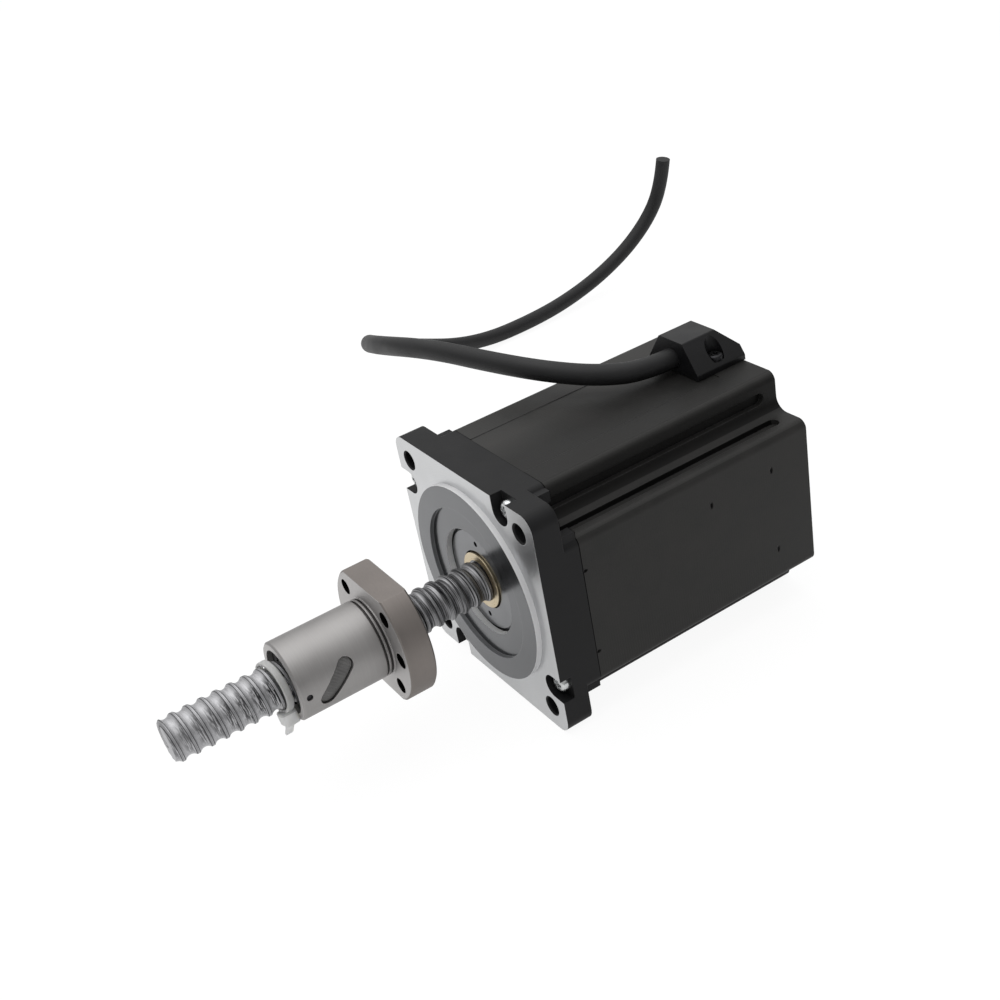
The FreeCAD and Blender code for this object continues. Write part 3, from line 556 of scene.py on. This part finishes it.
# Baked satin paint over cast aluminium: soft orange peel, cloudy gloss, and edges drawn lighter, worn and as
# a painted highlight.
# Seams are the stations where two pieces meet, with half the width of the dark line there
paintPlan = {"tones": ("#151516", "#1c1c1d"), "grain": 0.45, "patch": 14, "rough": (0.42, 0.54), "bump": 0.2,
             "ease": 0.35, "edge": "#4c4c4e", "rubAndHighlight": 0.8, "shine": 0.17,
             "seams": [(-15.8, 0.16), (-99.0, 0.0)]}
# The same paint over stacked sheet steel: the edges of the sheets show through as fine lines, drawn
# at 1 mm where the sheets are 0.5 mm, so that they show
corePlan = dict(paintPlan, tones=("#282827", "#302f2e"), stripe=("station", 1.0), stripeShare=0.12)
# The rear cap has the core's tones and neither its sheets nor its dents
rearPlan = dict(paintPlan, tones=corePlan["tones"])
# Small dents in the side of the core and at its front seam: station, height, half width, half height
corePlan["dents"] = [(-69.2, 15.5, 0.8, 1.5), (-96.0, 16.8, 0.8, 1.5), (-96.5, -15.7, 0.8, 1.5),
                     (-16.6, 16.2, 1.1, 0.8), (-16.6, -16.2, 1.1, 0.8)]
dentPlan = {"side": 40, "floor": 0.5, "depth": 0.5}
# Painted shade: the upright walls in the corner notches are drawn deeper black, the more so the further they
# lie below the outer sides
notchShadePlan = {"half": 43.0, "from": 0.2, "to": 2.6, "dark": 0.55, "upright": 0.78, "along": 0.5}
# Painted light and shade on the flat top: its far half is drawn lighter and its half towards +y darker, by
# the wiped share
topLightPlan = {"flat": 0.97, "above": 42.5, "lift": 1.3, "shadeRamp": (-8.0, 6.0), "wiped": 0.26}


def coreDetail(tree, layer, plan):
    # depth below the outer sides: half the frame less the larger of |y| and |z|
    wide = addNode(tree, "Math", [layer["y"]], operation="ABSOLUTE")
    tall = addNode(tree, "Math", [layer["z"]], operation="ABSOLUTE")
    most = addNode(tree, "Math", [wide, tall], operation="MAXIMUM")
    edges = [(notchShadePlan["half"] - notchShadePlan[key]) * mm for key in ("from", "to")]
    # painted shade: darker the deeper a point lies below the outer sides
    notchShade = addNode(tree, "MapRange", [most, *edges, 0.0, notchShadePlan["dark"]])
    lean = addNode(tree, "SeparateXYZ", [layer["plain"]]).node.outputs
    upright = addNode(tree, "Math", [lean["Z"], notchShadePlan["upright"]], operation="LESS_THAN")
    # the ends of the motor are no hollows
    end = addNode(tree, "Math", [lean["X"]], operation="ABSOLUTE")
    along = addNode(tree, "Math", [end, notchShadePlan["along"]], operation="LESS_THAN")
    dark = notchShade
    for mask in (upright, along):
        dark = addNode(tree, "Math", [dark, mask], operation="MULTIPLY")
    # painted shade: the dents are drawn black and without gloss, as well as sunk by the bump
    dents = 0.0
    for station, height, halfWide, halfTall in plan.get("dents", []):
        # distance from the dent's middle, in shares of its half width and half height
        local = addNode(tree, "CombineXYZ", [layer["x"], layer["z"]])
        local = addNode(tree, "Mapping", {"Vector": local, "Location": (station * mm, height * mm, 0),
                                          "Scale": (halfWide * mm, halfTall * mm, 1)}, vector_type="TEXTURE")
        away = addNode(tree, "VectorMath", [local], out="Value", operation="LENGTH")
        dent = addNode(tree, "MapRange", [away, 1.0, dentPlan["floor"]])
        dents = addNode(tree, "Math", [dents, dent], operation="MAXIMUM")
    side = addNode(tree, "Math", [layer["y"], dentPlan["side"] * mm], operation="GREATER_THAN")
    dents = addNode(tree, "Math", [dents, side], operation="MULTIPLY")
    # painted light on the flat top's far half, painted shade on its half towards +y
    flat = addNode(tree, "Math", [lean["Z"], topLightPlan["flat"]], operation="GREATER_THAN")
    top = addNode(tree, "Math", [layer["z"], topLightPlan["above"] * mm], operation="GREATER_THAN")
    litTop = addNode(tree, "Math", [flat, top], operation="MULTIPLY")
    wiped = addNode(tree, "MapRange", [layer["y"], *[edge * mm for edge in topLightPlan["shadeRamp"]]])
    shadedTop = addNode(tree, "Math", [litTop, wiped], operation="MULTIPLY")
    litTop = addNode(tree, "Math", [litTop, shadedTop], operation="SUBTRACT")
    shadedTop = addNode(tree, "Math", [shadedTop, topLightPlan["wiped"]], operation="MULTIPLY")
    lift = addNode(tree, "MapRange", [litTop, 0.0, 1.0, 1.0, topLightPlan["lift"]])
    litColour = addNode(tree, "VectorMath", {0: layer["colour"], "Scale": lift}, operation="SCALE")
    # the painted shade of the notches, of the dents and of the top's half towards +y darkens towards black
    for mask in (dents, shadedTop):
        dark = addNode(tree, "Math", [dark, mask], operation="MAXIMUM")
    colour = addNode(tree, "Mix", {0: dark, 6: litColour, 7: hexLinear(layerPlan["black"])}, out=2,
                     data_type="RGBA")
    # painted shade and open joints also turn the surface to black metal, which takes away its gloss
    dark = addNode(tree, "Math", [dark, layer["gaps"]], operation="MAXIMUM")
    sunk = addNode(tree, "Bump", {"Strength": 1.0, "Distance": dentPlan["depth"] * mm, "Height": dents,
                                  "Normal": layer["normal"]}, invert=True)
    return {"Base Color": colour, "Metallic": dark, "Normal": sunk}


# The front cap is painted, then turned: bright bare metal on the mounting face, duller grey on the pilot and
# its recess. The walls of the pilot and of the retainer's seat are drawn bright white, a painted highlight,
# and the seat's deeper wall black, a painted shade. Turning marks are finer than the render shows, so they
# are drawn at a coarser feed
facePlan = {
    **paintPlan, "rubAndHighlight": 0.2,
    "inner": ("#6d6e70", 0.2), "outer": ("#d4d5d6", 0.3), "outerFrom": 36.5,
    "pilotEdge": 36.8, "pilotBack": -2.75, "faceBack": -0.6, "faceForward": 0.9, "wallForward": 0.5,
    "ring": 0.16, "ringDetail": 2.0, "ringShade": (0.3, 0.7, 0.86, 1.0), "ringBump": 0.12, "ringDepth": 0.03,
    "cloudShade": 0.92,
    # a wall lies near one radius and one station: middle and half width of each
    "walls": [
        # painted highlight on the pilot's wall and on the seat's wall, painted shade on the seat's deeper
        # wall
        {"radius": (36.2, 0.6), "station": (1.0, 1.1), "tone": "#f2f2f3", "rough": 0.5, "metal": 0.2},
        {"radius": (28.2, 0.6), "station": (1.2, 1.0), "tone": "#87888a", "rough": 0.6, "metal": 0.2},
        {"radius": (19.8, 0.5), "station": (-0.6, 1.1), "tone": "#ffffff", "rough": 0.5, "metal": 0.0},
        {"radius": (19.8, 0.5), "station": (-2.2, 0.5), "tone": "#1c1c1d", "rough": 0.4, "metal": 0.8},
    ],
}


def capDetail(tree, layer, plan):
    x, radius = layer["x"], layer["radius"]
    inside = addNode(tree, "Math", [radius, plan["pilotEdge"] * mm], operation="LESS_THAN")
    ahead = addNode(tree, "Math", [x, plan["pilotBack"] * mm], operation="GREATER_THAN")
    pilot = addNode(tree, "Math", [inside, ahead], operation="MULTIPLY")
    level = addNode(tree, "Math", [x, plan["faceBack"] * mm], operation="GREATER_THAN")
    forward = addNode(tree, "SeparateXYZ", [layer["plain"]], out="X")
    across = addNode(tree, "Math", [forward, plan["wallForward"]], operation="LESS_THAN")
    facing = addNode(tree, "Math", [forward, plan["faceForward"]], operation="GREATER_THAN")
    face = addNode(tree, "Math", [level, facing], operation="MULTIPLY")
    bare = addNode(tree, "Math", [pilot, face], operation="MAXIMUM")
    outer = addNode(tree, "Math", [radius, plan["outerFrom"] * mm], operation="GREATER_THAN")
    (innerTone, innerRough), (outerTone, outerRough) = plan["inner"], plan["outer"]
    tone = addNode(tree, "Mix", {0: outer, 6: hexLinear(innerTone), 7: hexLinear(outerTone)}, out=2,
                   data_type="RGBA")
    gloss = addNode(tree, "Mix", {0: outer, 2: innerRough, 3: outerRough})
    metalShare = 1.0
    for wall in plan["walls"]:
        # only what doesn't face forwards is a wall
        mask = across
        for line, key in ((radius, "radius"), (x, "station")):
            middle, half = wall[key]
            near = addNode(tree, "Math", [line, middle * mm, half * mm], operation="COMPARE")
            mask = addNode(tree, "Math", [mask, near], operation="MULTIPLY")
        tone = addNode(tree, "Mix", {0: mask, 6: tone, 7: hexLinear(wall["tone"])}, out=2, data_type="RGBA")
        gloss = addNode(tree, "Mix", {0: mask, 2: gloss, 3: wall["rough"]})
        metalShare = addNode(tree, "Mix", {0: mask, 2: metalShare, 3: wall["metal"]})
    # turning marks: rings about the axis
    rings = addNode(tree, "TexNoise", {"W": radius, "Scale": 1 / (plan["ring"] * mm),
                                       "Detail": plan["ringDetail"]}, out="Fac", noise_dimensions="1D")
    shade = addNode(tree, "MapRange", [rings, *plan["ringShade"]])
    cloudy = addNode(tree, "MapRange", [layer["cloud"], 0.0, 1.0, plan["cloudShade"], 1.0])
    shade = addNode(tree, "Math", [shade, cloudy], operation="MULTIPLY")
    metal = addNode(tree, "VectorMath", {0: tone, "Scale": shade}, operation="SCALE")
    ringed = addNode(tree, "Bump", {"Strength": plan["ringBump"], "Distance": plan["ringDepth"] * mm,
                                    "Height": rings, "Normal": layer["eased"]})
    colour = addNode(tree, "Mix", {0: bare, 6: layer["colour"], 7: metal}, out=2, data_type="RGBA")
    rough = addNode(tree, "Mix", {0: bare, 2: layer["rough"], 3: gloss})
    normal = addNode(tree, "Mix", {0: bare, 4: layer["normal"], 5: ringed}, out=1, data_type="VECTOR")
    metallic = addNode(tree, "Math", [bare, metalShare], operation="MULTIPLY")
    metallic = addNode(tree, "Math", [metallic, layer["gaps"]], operation="MAXIMUM")
    return {"Base Color": colour, "Roughness": rough, "Normal": normal, "Metallic": metallic}


# Rolled screw steel: ground land between dark oily lines, grey raceway with marks along the rolling and dark
# grease that thickens towards the motor; the marks are drawn coarser than they are, so that they show
threadPlan = {
    "land": ("#98989a", "#acacae"), "track": ("#b0b0b2", "#c4c4c6"), "wiped": ("#161618", "#b8b8ba"),
    "grease": "#272729", "line": "#2c2c2e", "lineHalf": 0.2, "mouth": 1.98, "edge": 0.08, "rough": (0.5, 0.6),
    "lines": {"long": 4.5, "fine": 0.4, "detail": 3.0, "uneven": 0.6},
    "streaks": {"long": 16.0, "fine": 0.45, "detail": 2.0, "uneven": 0.5},
    "blot": {"size": 0.9, "detail": 4.0, "uneven": 0.65},
    "marksBetween": (0.4, 0.6), "bareBetween": (0.85, 0.4), "streaksBetween": (0.4, 0.62),
    # across the track, in shares of its half width, and round the screw: direction, none and full
    "greaseAcross": (0.55, -0.15), "greaseSide": (20.0, 4.0, 6.4),
    # two stations, and the share at each
    "along": {"grease": (117.0, 80.0, 0.5, 1.0), "root": (58.0, 30.0, 1.0, 0.66),
              "blot": (58.0, 34.0, 0.16, 0.08), "wiped": (48.0, 34.0, 0.0, 0.8)},
    "bump": 0.3, "bumpDepth": 0.06,
}


def threadFinish():
    material, tree, shader = newMaterial("rolled and ground screw steel")
    uv = addNode(tree, "UVMap", uv_map="surface")
    acrossTrack = addNode(tree, "SeparateXYZ", [uv], out="Y")
    across = addNode(tree, "Math", [acrossTrack], operation="ABSOLUTE")
    mouth, edge = threadPlan["mouth"] * mm, threadPlan["edge"] * mm
    track = addNode(tree, "MapRange", [across, mouth + edge, mouth - edge])
    noise = {}
    for key in ("lines", "streaks"):
        size = threadPlan[key]
        scale = (1 / (size["long"] * mm), 1 / (size["fine"] * mm), 1)
        lay = addNode(tree, "Mapping", {"Vector": uv, "Scale": scale})
        noise[key] = addNode(tree, "TexNoise", {"Vector": lay, "Scale": 1.0, "Detail": size["detail"],
                                                "Roughness": size["uneven"]}, out="Fac")
    lines = noise["lines"]
    place = addNode(tree, "TexCoord", out="Object")
    size = threadPlan["blot"]
    blot = addNode(tree, "TexNoise", {"Vector": place, "Scale": 1 / (size["size"] * mm),
                                      "Detail": size["detail"], "Roughness": size["uneven"]}, out="Fac")
    station = addNode(tree, "SeparateXYZ", [place], out="X")
    along = {key: addNode(tree, "MapRange", [station, first * mm, last * mm, start, end])
             for key, (first, last, start, end) in threadPlan["along"].items()}
    marks = addNode(tree, "Mix", {0: along["blot"], 2: lines, 3: blot})
    marks = addNode(tree, "MapRange", [marks, *threadPlan["marksBetween"]])
    streaks = addNode(tree, "MapRange", [noise["streaks"], *threadPlan["streaksBetween"]])
    tones = {}
    for key, share in (("track", marks), ("land", lines), ("wiped", streaks)):
        low, high = [hexLinear(code) for code in threadPlan[key]]
        tones[key] = addNode(tree, "Mix", {0: share, 6: low, 7: high}, out=2, data_type="RGBA")
    # grease lies on the motor side of the track where the marks are low
    none, full = [share * mouth for share in threadPlan["greaseAcross"]]
    inner = addNode(tree, "MapRange", [acrossTrack, none, full])
    aim, none, full = threadPlan["greaseSide"]
    toward = (0, math.cos(math.radians(aim)), math.sin(math.radians(aim)))
    side = addNode(tree, "VectorMath", [place, toward], out="Value", operation="DOT_PRODUCT")
    side = addNode(tree, "MapRange", [side, none * mm, full * mm])
    bare = addNode(tree, "MapRange", [marks, *threadPlan["bareBetween"]])
    coat = along["grease"]
    for mask in (inner, side, bare):
        coat = addNode(tree, "Math", [coat, mask], operation="MULTIPLY")
    # oil and shade gather where land and track meet
    line = addNode(tree, "Math", [across, mouth], operation="SUBTRACT")
    line = addNode(tree, "Math", [line], operation="ABSOLUTE")
    line = addNode(tree, "MapRange", [line, threadPlan["lineHalf"] * mm, 0.0])
    low = addNode(tree, "Mix", {0: coat, 6: tones["track"], 7: hexLinear(threadPlan["grease"])}, out=2,
                  data_type="RGBA")
    colour = tones["land"]
    for mask, tone in ((track, low), (line, hexLinear(threadPlan["line"]))):
        colour = addNode(tree, "Mix", {0: mask, 6: colour, 7: tone}, out=2, data_type="RGBA")
    # painted shade: from the nut towards the motor the colour falls to two thirds, where the nut shades the
    # screw
    colour = addNode(tree, "VectorMath", {0: colour, "Scale": along["root"]}, operation="SCALE")
    # on the root the grease is wiped into long streaks along the thread, bare metal between them
    colour = addNode(tree, "Mix", {0: along["wiped"], 6: colour, 7: tones["wiped"]}, out=2, data_type="RGBA")
    rough = addNode(tree, "MapRange", [marks, 0.0, 1.0, *threadPlan["rough"]])
    normal = addNode(tree, "Bump", {"Strength": threadPlan["bump"], "Distance": threadPlan["bumpDepth"] * mm,
                                    "Height": lines})
    setInputs(tree, shader, {"Base Color": colour, "Roughness": rough, "Normal": normal, "Metallic": 1.0})
    return material


# Hardened nut steel, ground: fine hoops round the axis. The flange's rim is drawn browner, a painted
# reflection of a brown table below it, and drilled holes and the groove beside the flange are drawn dark, a
# painted shade
nutPlan = {"tones": ("#979594", "#a6a4a3"), "grain": 0.4, "patch": 16, "rough": (0.5, 0.58), "bump": 0.03,
           "ease": 0.3, "edge": "#c4c1bf", "rubAndHighlight": 0.6, "metal": 1.0, "turned": True, "grainShare": 0.3,
           "rim": "#8b8581", "rimFrom": 19.9, "rimCloud": 0.8, "flangeMiddle": 37.5, "flangeHalf": 4.85,
           "holes": (0, 45, 135, 180, 225, 315), "holeOffset": 19.0, "holeRadius": 2.8, "bore": "#1a1918",
           "face": "#bfbdbc", "faceForward": 0.9,
           "groove": "#4a4847", "grooveTop": 13.5, "grooveMiddle": 44.2, "grooveHalf": 1.6}


def nutDetail(tree, layer, plan):
    x, radius = layer["x"], layer["radius"]
    outer = addNode(tree, "Math", [radius, plan["rimFrom"] * mm], operation="GREATER_THAN")
    between, beside = [
        addNode(tree, "Math", [x, plan[key + "Middle"] * mm, plan[key + "Half"] * mm], operation="COMPARE")
        for key in ("flange", "groove")]
    # painted reflection: the flange's rim is drawn brown, for the brown table it mirrors
    rim = addNode(tree, "Math", [outer, between], operation="MULTIPLY")
    cloudy = addNode(tree, "MapRange", [layer["cloud"], 0.0, 1.0, plan["rimCloud"], 1.0])
    reflectedBrown = addNode(tree, "VectorMath", {0: hexLinear(plan["rim"])[:3], "Scale": cloudy}, operation="SCALE")
    # painted light: faces turned towards +x are drawn in the lighter face tone
    forward = addNode(tree, "SeparateXYZ", [layer["plain"]], out="X")
    facing = addNode(tree, "Math", [forward, plan["faceForward"]], operation="GREATER_THAN")
    # painted shade: the groove beside the flange is drawn dark
    sunk = addNode(tree, "Math", [radius, plan["grooveTop"] * mm], operation="LESS_THAN")
    groove = addNode(tree, "Math", [sunk, beside], operation="MULTIPLY")
    tints = [(rim, reflectedBrown), (facing, hexLinear(plan["face"])), (groove, hexLinear(plan["groove"]))]
    # painted shade: the drilled holes are drawn near black inside
    # a bore is everything within a hole's radius of its middle line
    flat = addNode(tree, "CombineXYZ", {"Y": layer["y"], "Z": layer["z"]})
    for angle in plan["holes"]:
        turn = math.radians(angle)
        centre = (0, plan["holeOffset"] * mm * math.cos(turn), plan["holeOffset"] * mm * math.sin(turn))
        away = addNode(tree, "VectorMath", [flat, centre], out="Value", operation="DISTANCE")
        bore = addNode(tree, "Math", [away, plan["holeRadius"] * mm], operation="LESS_THAN")
        tints.append((bore, hexLinear(plan["bore"])))
    colour = layer["colour"]
    for mask, tone in tints:
        colour = addNode(tree, "Mix", {0: mask, 6: colour, 7: tone}, out=2, data_type="RGBA")
    return {"Base Color": colour}


# Natural nylon: milky, lets light through, waxy gloss. The thin strap lets the dark screw through
nylonPlan = {"tones": ("#f6f6f4", "#fdfdfc"), "grain": 0.4, "patch": 3, "rough": (0.32, 0.45), "bump": 0.1,
             "ease": 0.15, "edge": "#fafaf8", "rubAndHighlight": 0.4, "strapTo": 10.2, "strapShade": 0.66, "ior": 1.53,
             "milky": 0.4, "milkyReach": (1.0, 1.0, 0.9), "milkyDepth": 1.5, "clear": 0.35}


def nylonDetail(tree, layer, plan):
    strap = addNode(tree, "Math", [layer["radius"], plan["strapTo"] * mm], operation="LESS_THAN")
    dim = addNode(tree, "MapRange", [strap, 0.0, 1.0, 1.0, plan["strapShade"]])
    colour = addNode(tree, "VectorMath", {0: layer["colour"], "Scale": dim}, operation="SCALE")
    return {"Base Color": colour, "IOR": plan["ior"], "Subsurface Weight": plan["milky"],
            "Subsurface Radius": plan["milkyReach"], "Subsurface Scale": plan["milkyDepth"] * mm,
            "Transmission Weight": plan["clear"]}


finishes = {
    # black-finished turned steel, duller than bare metal
    "retainerSteel": finish("dark turned steel", dict(
        tones=("#6e6f71", "#7b7c7e"), grain=0.25, patch=8, rough=(0.18, 0.26), bump=0.1, ease=0.2,
        edge="#9b9ca0", rubAndHighlight=0.6, metal=1.0, turned=True)),
    # bright turned brass, faint rings
    "brass": finish("turned brass", dict(
        tones=("#c3b28e", "#d2c4aa"), grain=0.2, patch=5, rough=(0.26, 0.36), bump=0.15, ease=0.3,
        edge="#f6ecd4", rubAndHighlight=0.8, metal=1.0, turned=True, grainShare=0.5, stripe=("radius", 0.7),
        stripeShare=0.4)),
    # clear zinc plating: pale, slightly blue, finely mottled
    "zincSteel": finish("zinc plated steel", dict(
        tones=("#b9bbbd", "#dcdddc"), grain=0.3, patch=2.5, rough=(0.18, 0.34), bump=0.12, ease=0.12,
        edge="#efefef", rubAndHighlight=0.5, metal=1.0)),
    # black oxide on small screws: dark, oily, still metallic
    "blackSteel": finish("blackened steel", dict(
        tones=("#2b2b2d", "#39393b"), grain=0.3, patch=2.5, rough=(0.3, 0.45), bump=0.1, ease=0.12,
        edge="#5a5a5c", rubAndHighlight=0.5, metal=1.0)),
    # through-hardened bearing steel, superfinished
    "bearingSteel": finish("polished bearing steel", dict(
        tones=("#bcbdbe", "#cfd0d1"), grain=0.2, patch=6, rough=(0.08, 0.18), bump=0.04, ease=0.2,
        edge="#e6e6e6", rubAndHighlight=0.4, metal=1.0, turned=True)),
    # spring strip, blue-grey temper colour
    "springSteel": finish("tempered spring steel", dict(
        tones=("#6d7078", "#8b8d92"), grain=0.25, patch=5, rough=(0.22, 0.35), bump=0.06, ease=0.1,
        edge="#a8a9ac", rubAndHighlight=0.4, metal=1.0)),
    # enamelled wire in layers: the turns show as ridges at constant distance from the axis
    "copper": finish("enamelled copper windings", dict(
        tones=("#8a4320", "#b8642f"), grain=0.5, patch=4, rough=(0.25, 0.4), bump=0.5, ease=0.4,
        edge="#cf8048", rubAndHighlight=0.4, metal=0.8, stripe=("radius", 0.9), stripeShare=0.5)),
    # stacked sheet steel, bare: each sheet's edge shows as a line, drawn at 1 mm
    "laminations": finish("stacked electrical steel", dict(
        tones=("#6f7072", "#86878a"), grain=0.4, patch=7, rough=(0.38, 0.55), bump=0.3, ease=0.15,
        edge="#a4a5a7", rubAndHighlight=0.4, metal=1.0, stripe=("station", 1.0), stripeShare=0.35)),
    # sintered magnet with a dull nickel coat
    "magnet": finish("nickel coated magnet", dict(
        tones=("#8e8f90", "#a3a3a2"), grain=0.6, patch=6, rough=(0.3, 0.45), bump=0.15, ease=0.4,
        edge="#bdbdbc", rubAndHighlight=0.4, metal=1.0)),
    # machined black acetal: smooth, slightly waxy, edges catch light
    "blackPlastic": finish("machined black acetal", dict(
        tones=("#101011", "#18181a"), grain=0.3, patch=7, rough=(0.34, 0.46), bump=0.15, ease=0.3,
        edge="#3a3a3d", rubAndHighlight=0.6, shine=0.27)),
    # moulded grey plastic of the return insert, dull with fine grain
    "greyPlastic": finish("moulded grey acetal", dict(
        tones=("#555453", "#676665"), grain=0.3, patch=3, rough=(0.45, 0.6), bump=0.2, ease=0.1,
        edge="#6a6a69", rubAndHighlight=0.5)),
    # moulded rings that wipe the screw: dull black, a little grey on their edges
    "wiperPlastic": finish("moulded wiper plastic", dict(
        tones=("#131314", "#1b1b1c"), grain=0.3, patch=4, rough=(0.45, 0.6), bump=0.2, ease=0.2,
        edge="#323234", rubAndHighlight=0.5, shine=0.2)),
    # glass-filled moulding, cream, with a mottled skin
    "palePlastic": finish("glass filled insulator", dict(
        tones=("#c9c2ac", "#d8d2bf"), grain=0.4, patch=5, rough=(0.5, 0.65), bump=0.25, ease=0.25,
        edge="#e6e1d2", rubAndHighlight=0.4)),
    # insulation drawn over the wire: dull red, slightly waxy
    "leadPlastic": finish("extruded lead insulation", dict(
        tones=("#7c2624", "#933432"), grain=0.4, patch=3, rough=(0.35, 0.5), bump=0.1, ease=0.2,
        edge="#a84a47", rubAndHighlight=0.3)),
    # extruded rubbery jacket: matte, faint drag lines and dust
    "jacket": finish("extruded cable jacket", dict(
        tones=("#171718", "#212122"), grain=0.5, patch=18, rough=(0.45, 0.6), bump=0.2, ease=0.2,
        edge="#1c1c1d", rubAndHighlight=0.3, shine=0.32)),
    "capPaint": finish("satin black paint on cast aluminium", rearPlan, coreDetail),
    "corePaint": finish("satin black paint on laminated steel", corePlan, coreDetail),
    "frontCap": finish("painted and turned cast aluminium", facePlan, capDetail),
    "thread": threadFinish(),
    "groundSteel": finish("ground nut steel", nutPlan, nutDetail),
    "nylon": finish("natural moulded nylon", nylonPlan, nylonDetail),
}
# CAD nodes by their own names, new pieces by theirs
wearers = {
    "frontCap": ["front_end_cap"], "capPaint": ["rear_end_cap"], "corePaint": ["stator_core"],
    "copper": ["stator_coils"], "palePlastic": ["front_insulator", "rear_insulator"],
    "bearingSteel": ["front_bearing_outer_race", "front_bearing_inner_race", "front_bearing_balls",
                     "rear_bearing_outer_race", "rear_bearing_inner_race", "rear_bearing_balls", "nut_balls"],
    "retainerSteel": ["bearing_retainer", "screwShank"], "springSteel": ["wave_spring"],
    "blackPlastic": ["gland_block"], "leadPlastic": ["lead_wires"], "brass": ["spacer_sleeve"],
    "magnet": ["rotor_magnet"], "laminations": ["rotor_spacer", "front_rotor_cup", "rear_rotor_cup"],
    "groundSteel": ["nut_body"], "greyPlastic": ["return_inserts", "insertRibs"],
    "wiperPlastic": ["front_wiper", "rear_wiper"], "blackSteel": ["wiper_screw", "clampScrews"],
    "jacket": ["motorCable"], "thread": ["ballScrew"], "zincSteel": ["tieBolts"], "nylon": ["transportTie"],
}
for key, names in wearers.items():
    for name in names:
        dress(nodes[name] if name in nodes else bpy.data.objects[name], finishes[key])
print("finishes on,", len(finishes))


# Floor and light: the camera sees the floor nearly white, reflections see it half lit by the room
floorPlan = {"height": -43.02, "size": 6000, "tone": "#f4f4f4", "rough": 0.9, "seenByCamera": 0.88,
             "seenInGloss": 0.45, "glow": 1.05}
reach = floorPlan["size"] / 2
corners = np.array([(-reach, -reach), (reach, -reach), (reach, reach), (-reach, reach)])
floorPoints = np.column_stack([corners, np.full(4, floorPlan["height"])])
floor = meshPiece("floor", floorPoints, np.array([[0, 1, 2, 3]]), smooth=False)
floorMaterial, tree, shader = newMaterial("pale floor")
setInputs(tree, shader, {"Base Color": hexLinear(floorPlan["tone"]), "Roughness": floorPlan["rough"]})
path = addNode(tree, "LightPath").node.outputs
gloss = addNode(tree, "Math", [path["Is Glossy Ray"], path["Is Transmission Ray"]], operation="MAXIMUM")
gloss = addNode(tree, "Math", [gloss, floorPlan["seenInGloss"]], operation="MULTIPLY")
share = addNode(tree, "Math", [path["Is Camera Ray"], floorPlan["seenByCamera"], gloss],
                operation="MULTIPLY_ADD")
glow = addNode(tree, "Emission", {"Color": (1, 1, 1, 1), "Strength": floorPlan["glow"]})
blend = addNode(tree, "MixShader", [share, shader.outputs[0], glow])
tree.links.new(blend, tree.nodes["Material Output"].inputs["Surface"])
dress(floor, floorMaterial)

# The room is pale overhead and behind, darker near the horizon and before the object, as round a photo table
roomPlan = {"horizon": 0.16, "overhead": 1.0, "fullAt": 0.6, "behind": 1.1, "before": 0.65, "depth": 0.8}
world = bpy.data.worlds.new("studio")
bpy.context.scene.world = world
world.use_nodes = True
tree = world.node_tree
seen = addNode(tree, "LightPath", out="Is Camera Ray")
toward = addNode(tree, "SeparateXYZ", [addNode(tree, "TexCoord", out="Generated")]).node.outputs
rise = addNode(tree, "MapRange", [toward["Z"], 0.0, roomPlan["fullAt"], roomPlan["horizon"],
                                  roomPlan["overhead"]], interpolation_type="SMOOTHSTEP")
depth = addNode(tree, "MapRange", [toward["Y"], -roomPlan["depth"], roomPlan["depth"], roomPlan["behind"],
                                   roomPlan["before"]])
lit = addNode(tree, "Math", [rise, depth], operation="MULTIPLY")
strength = addNode(tree, "Mix", {0: seen, 2: lit, 3: 1.0})
setInputs(tree, tree.nodes["Background"], {"Color": (1, 1, 1, 1), "Strength": strength})

lamps = {
    "top": {"place": (0, -100, 900), "aim": (0, 0, 0), "size": 900, "watts": 3},
    "back": {"place": (-360, -690, 460), "aim": (-40, 0, 0), "size": 800, "watts": 0.3},
}
for name, plan in lamps.items():
    light = bpy.data.lights.new(name, "AREA")
    light.size = plan["size"] * mm
    light.energy = plan["watts"]
    lamp = bpy.data.objects.new(name, light)
    lamp.visible_camera = False
    lamp.location = [c * mm for c in plan["place"]]
    away = np.array(plan["place"], float) - np.array(plan["aim"], float)
    away /= np.linalg.norm(away)
    # square to a line that no lamp shines along
    side = np.cross((0, 1, 0.01), away)
    side /= np.linalg.norm(side)
    turn = Matrix(np.array([side, np.cross(away, side), away]).T.tolist()).to_4x4()
    turn.translation = lamp.location
    lamp.matrix_world = turn
    bpy.context.scene.collection.objects.link(lamp)
print("floor and lamps placed")

bpy.context.view_layer.update()
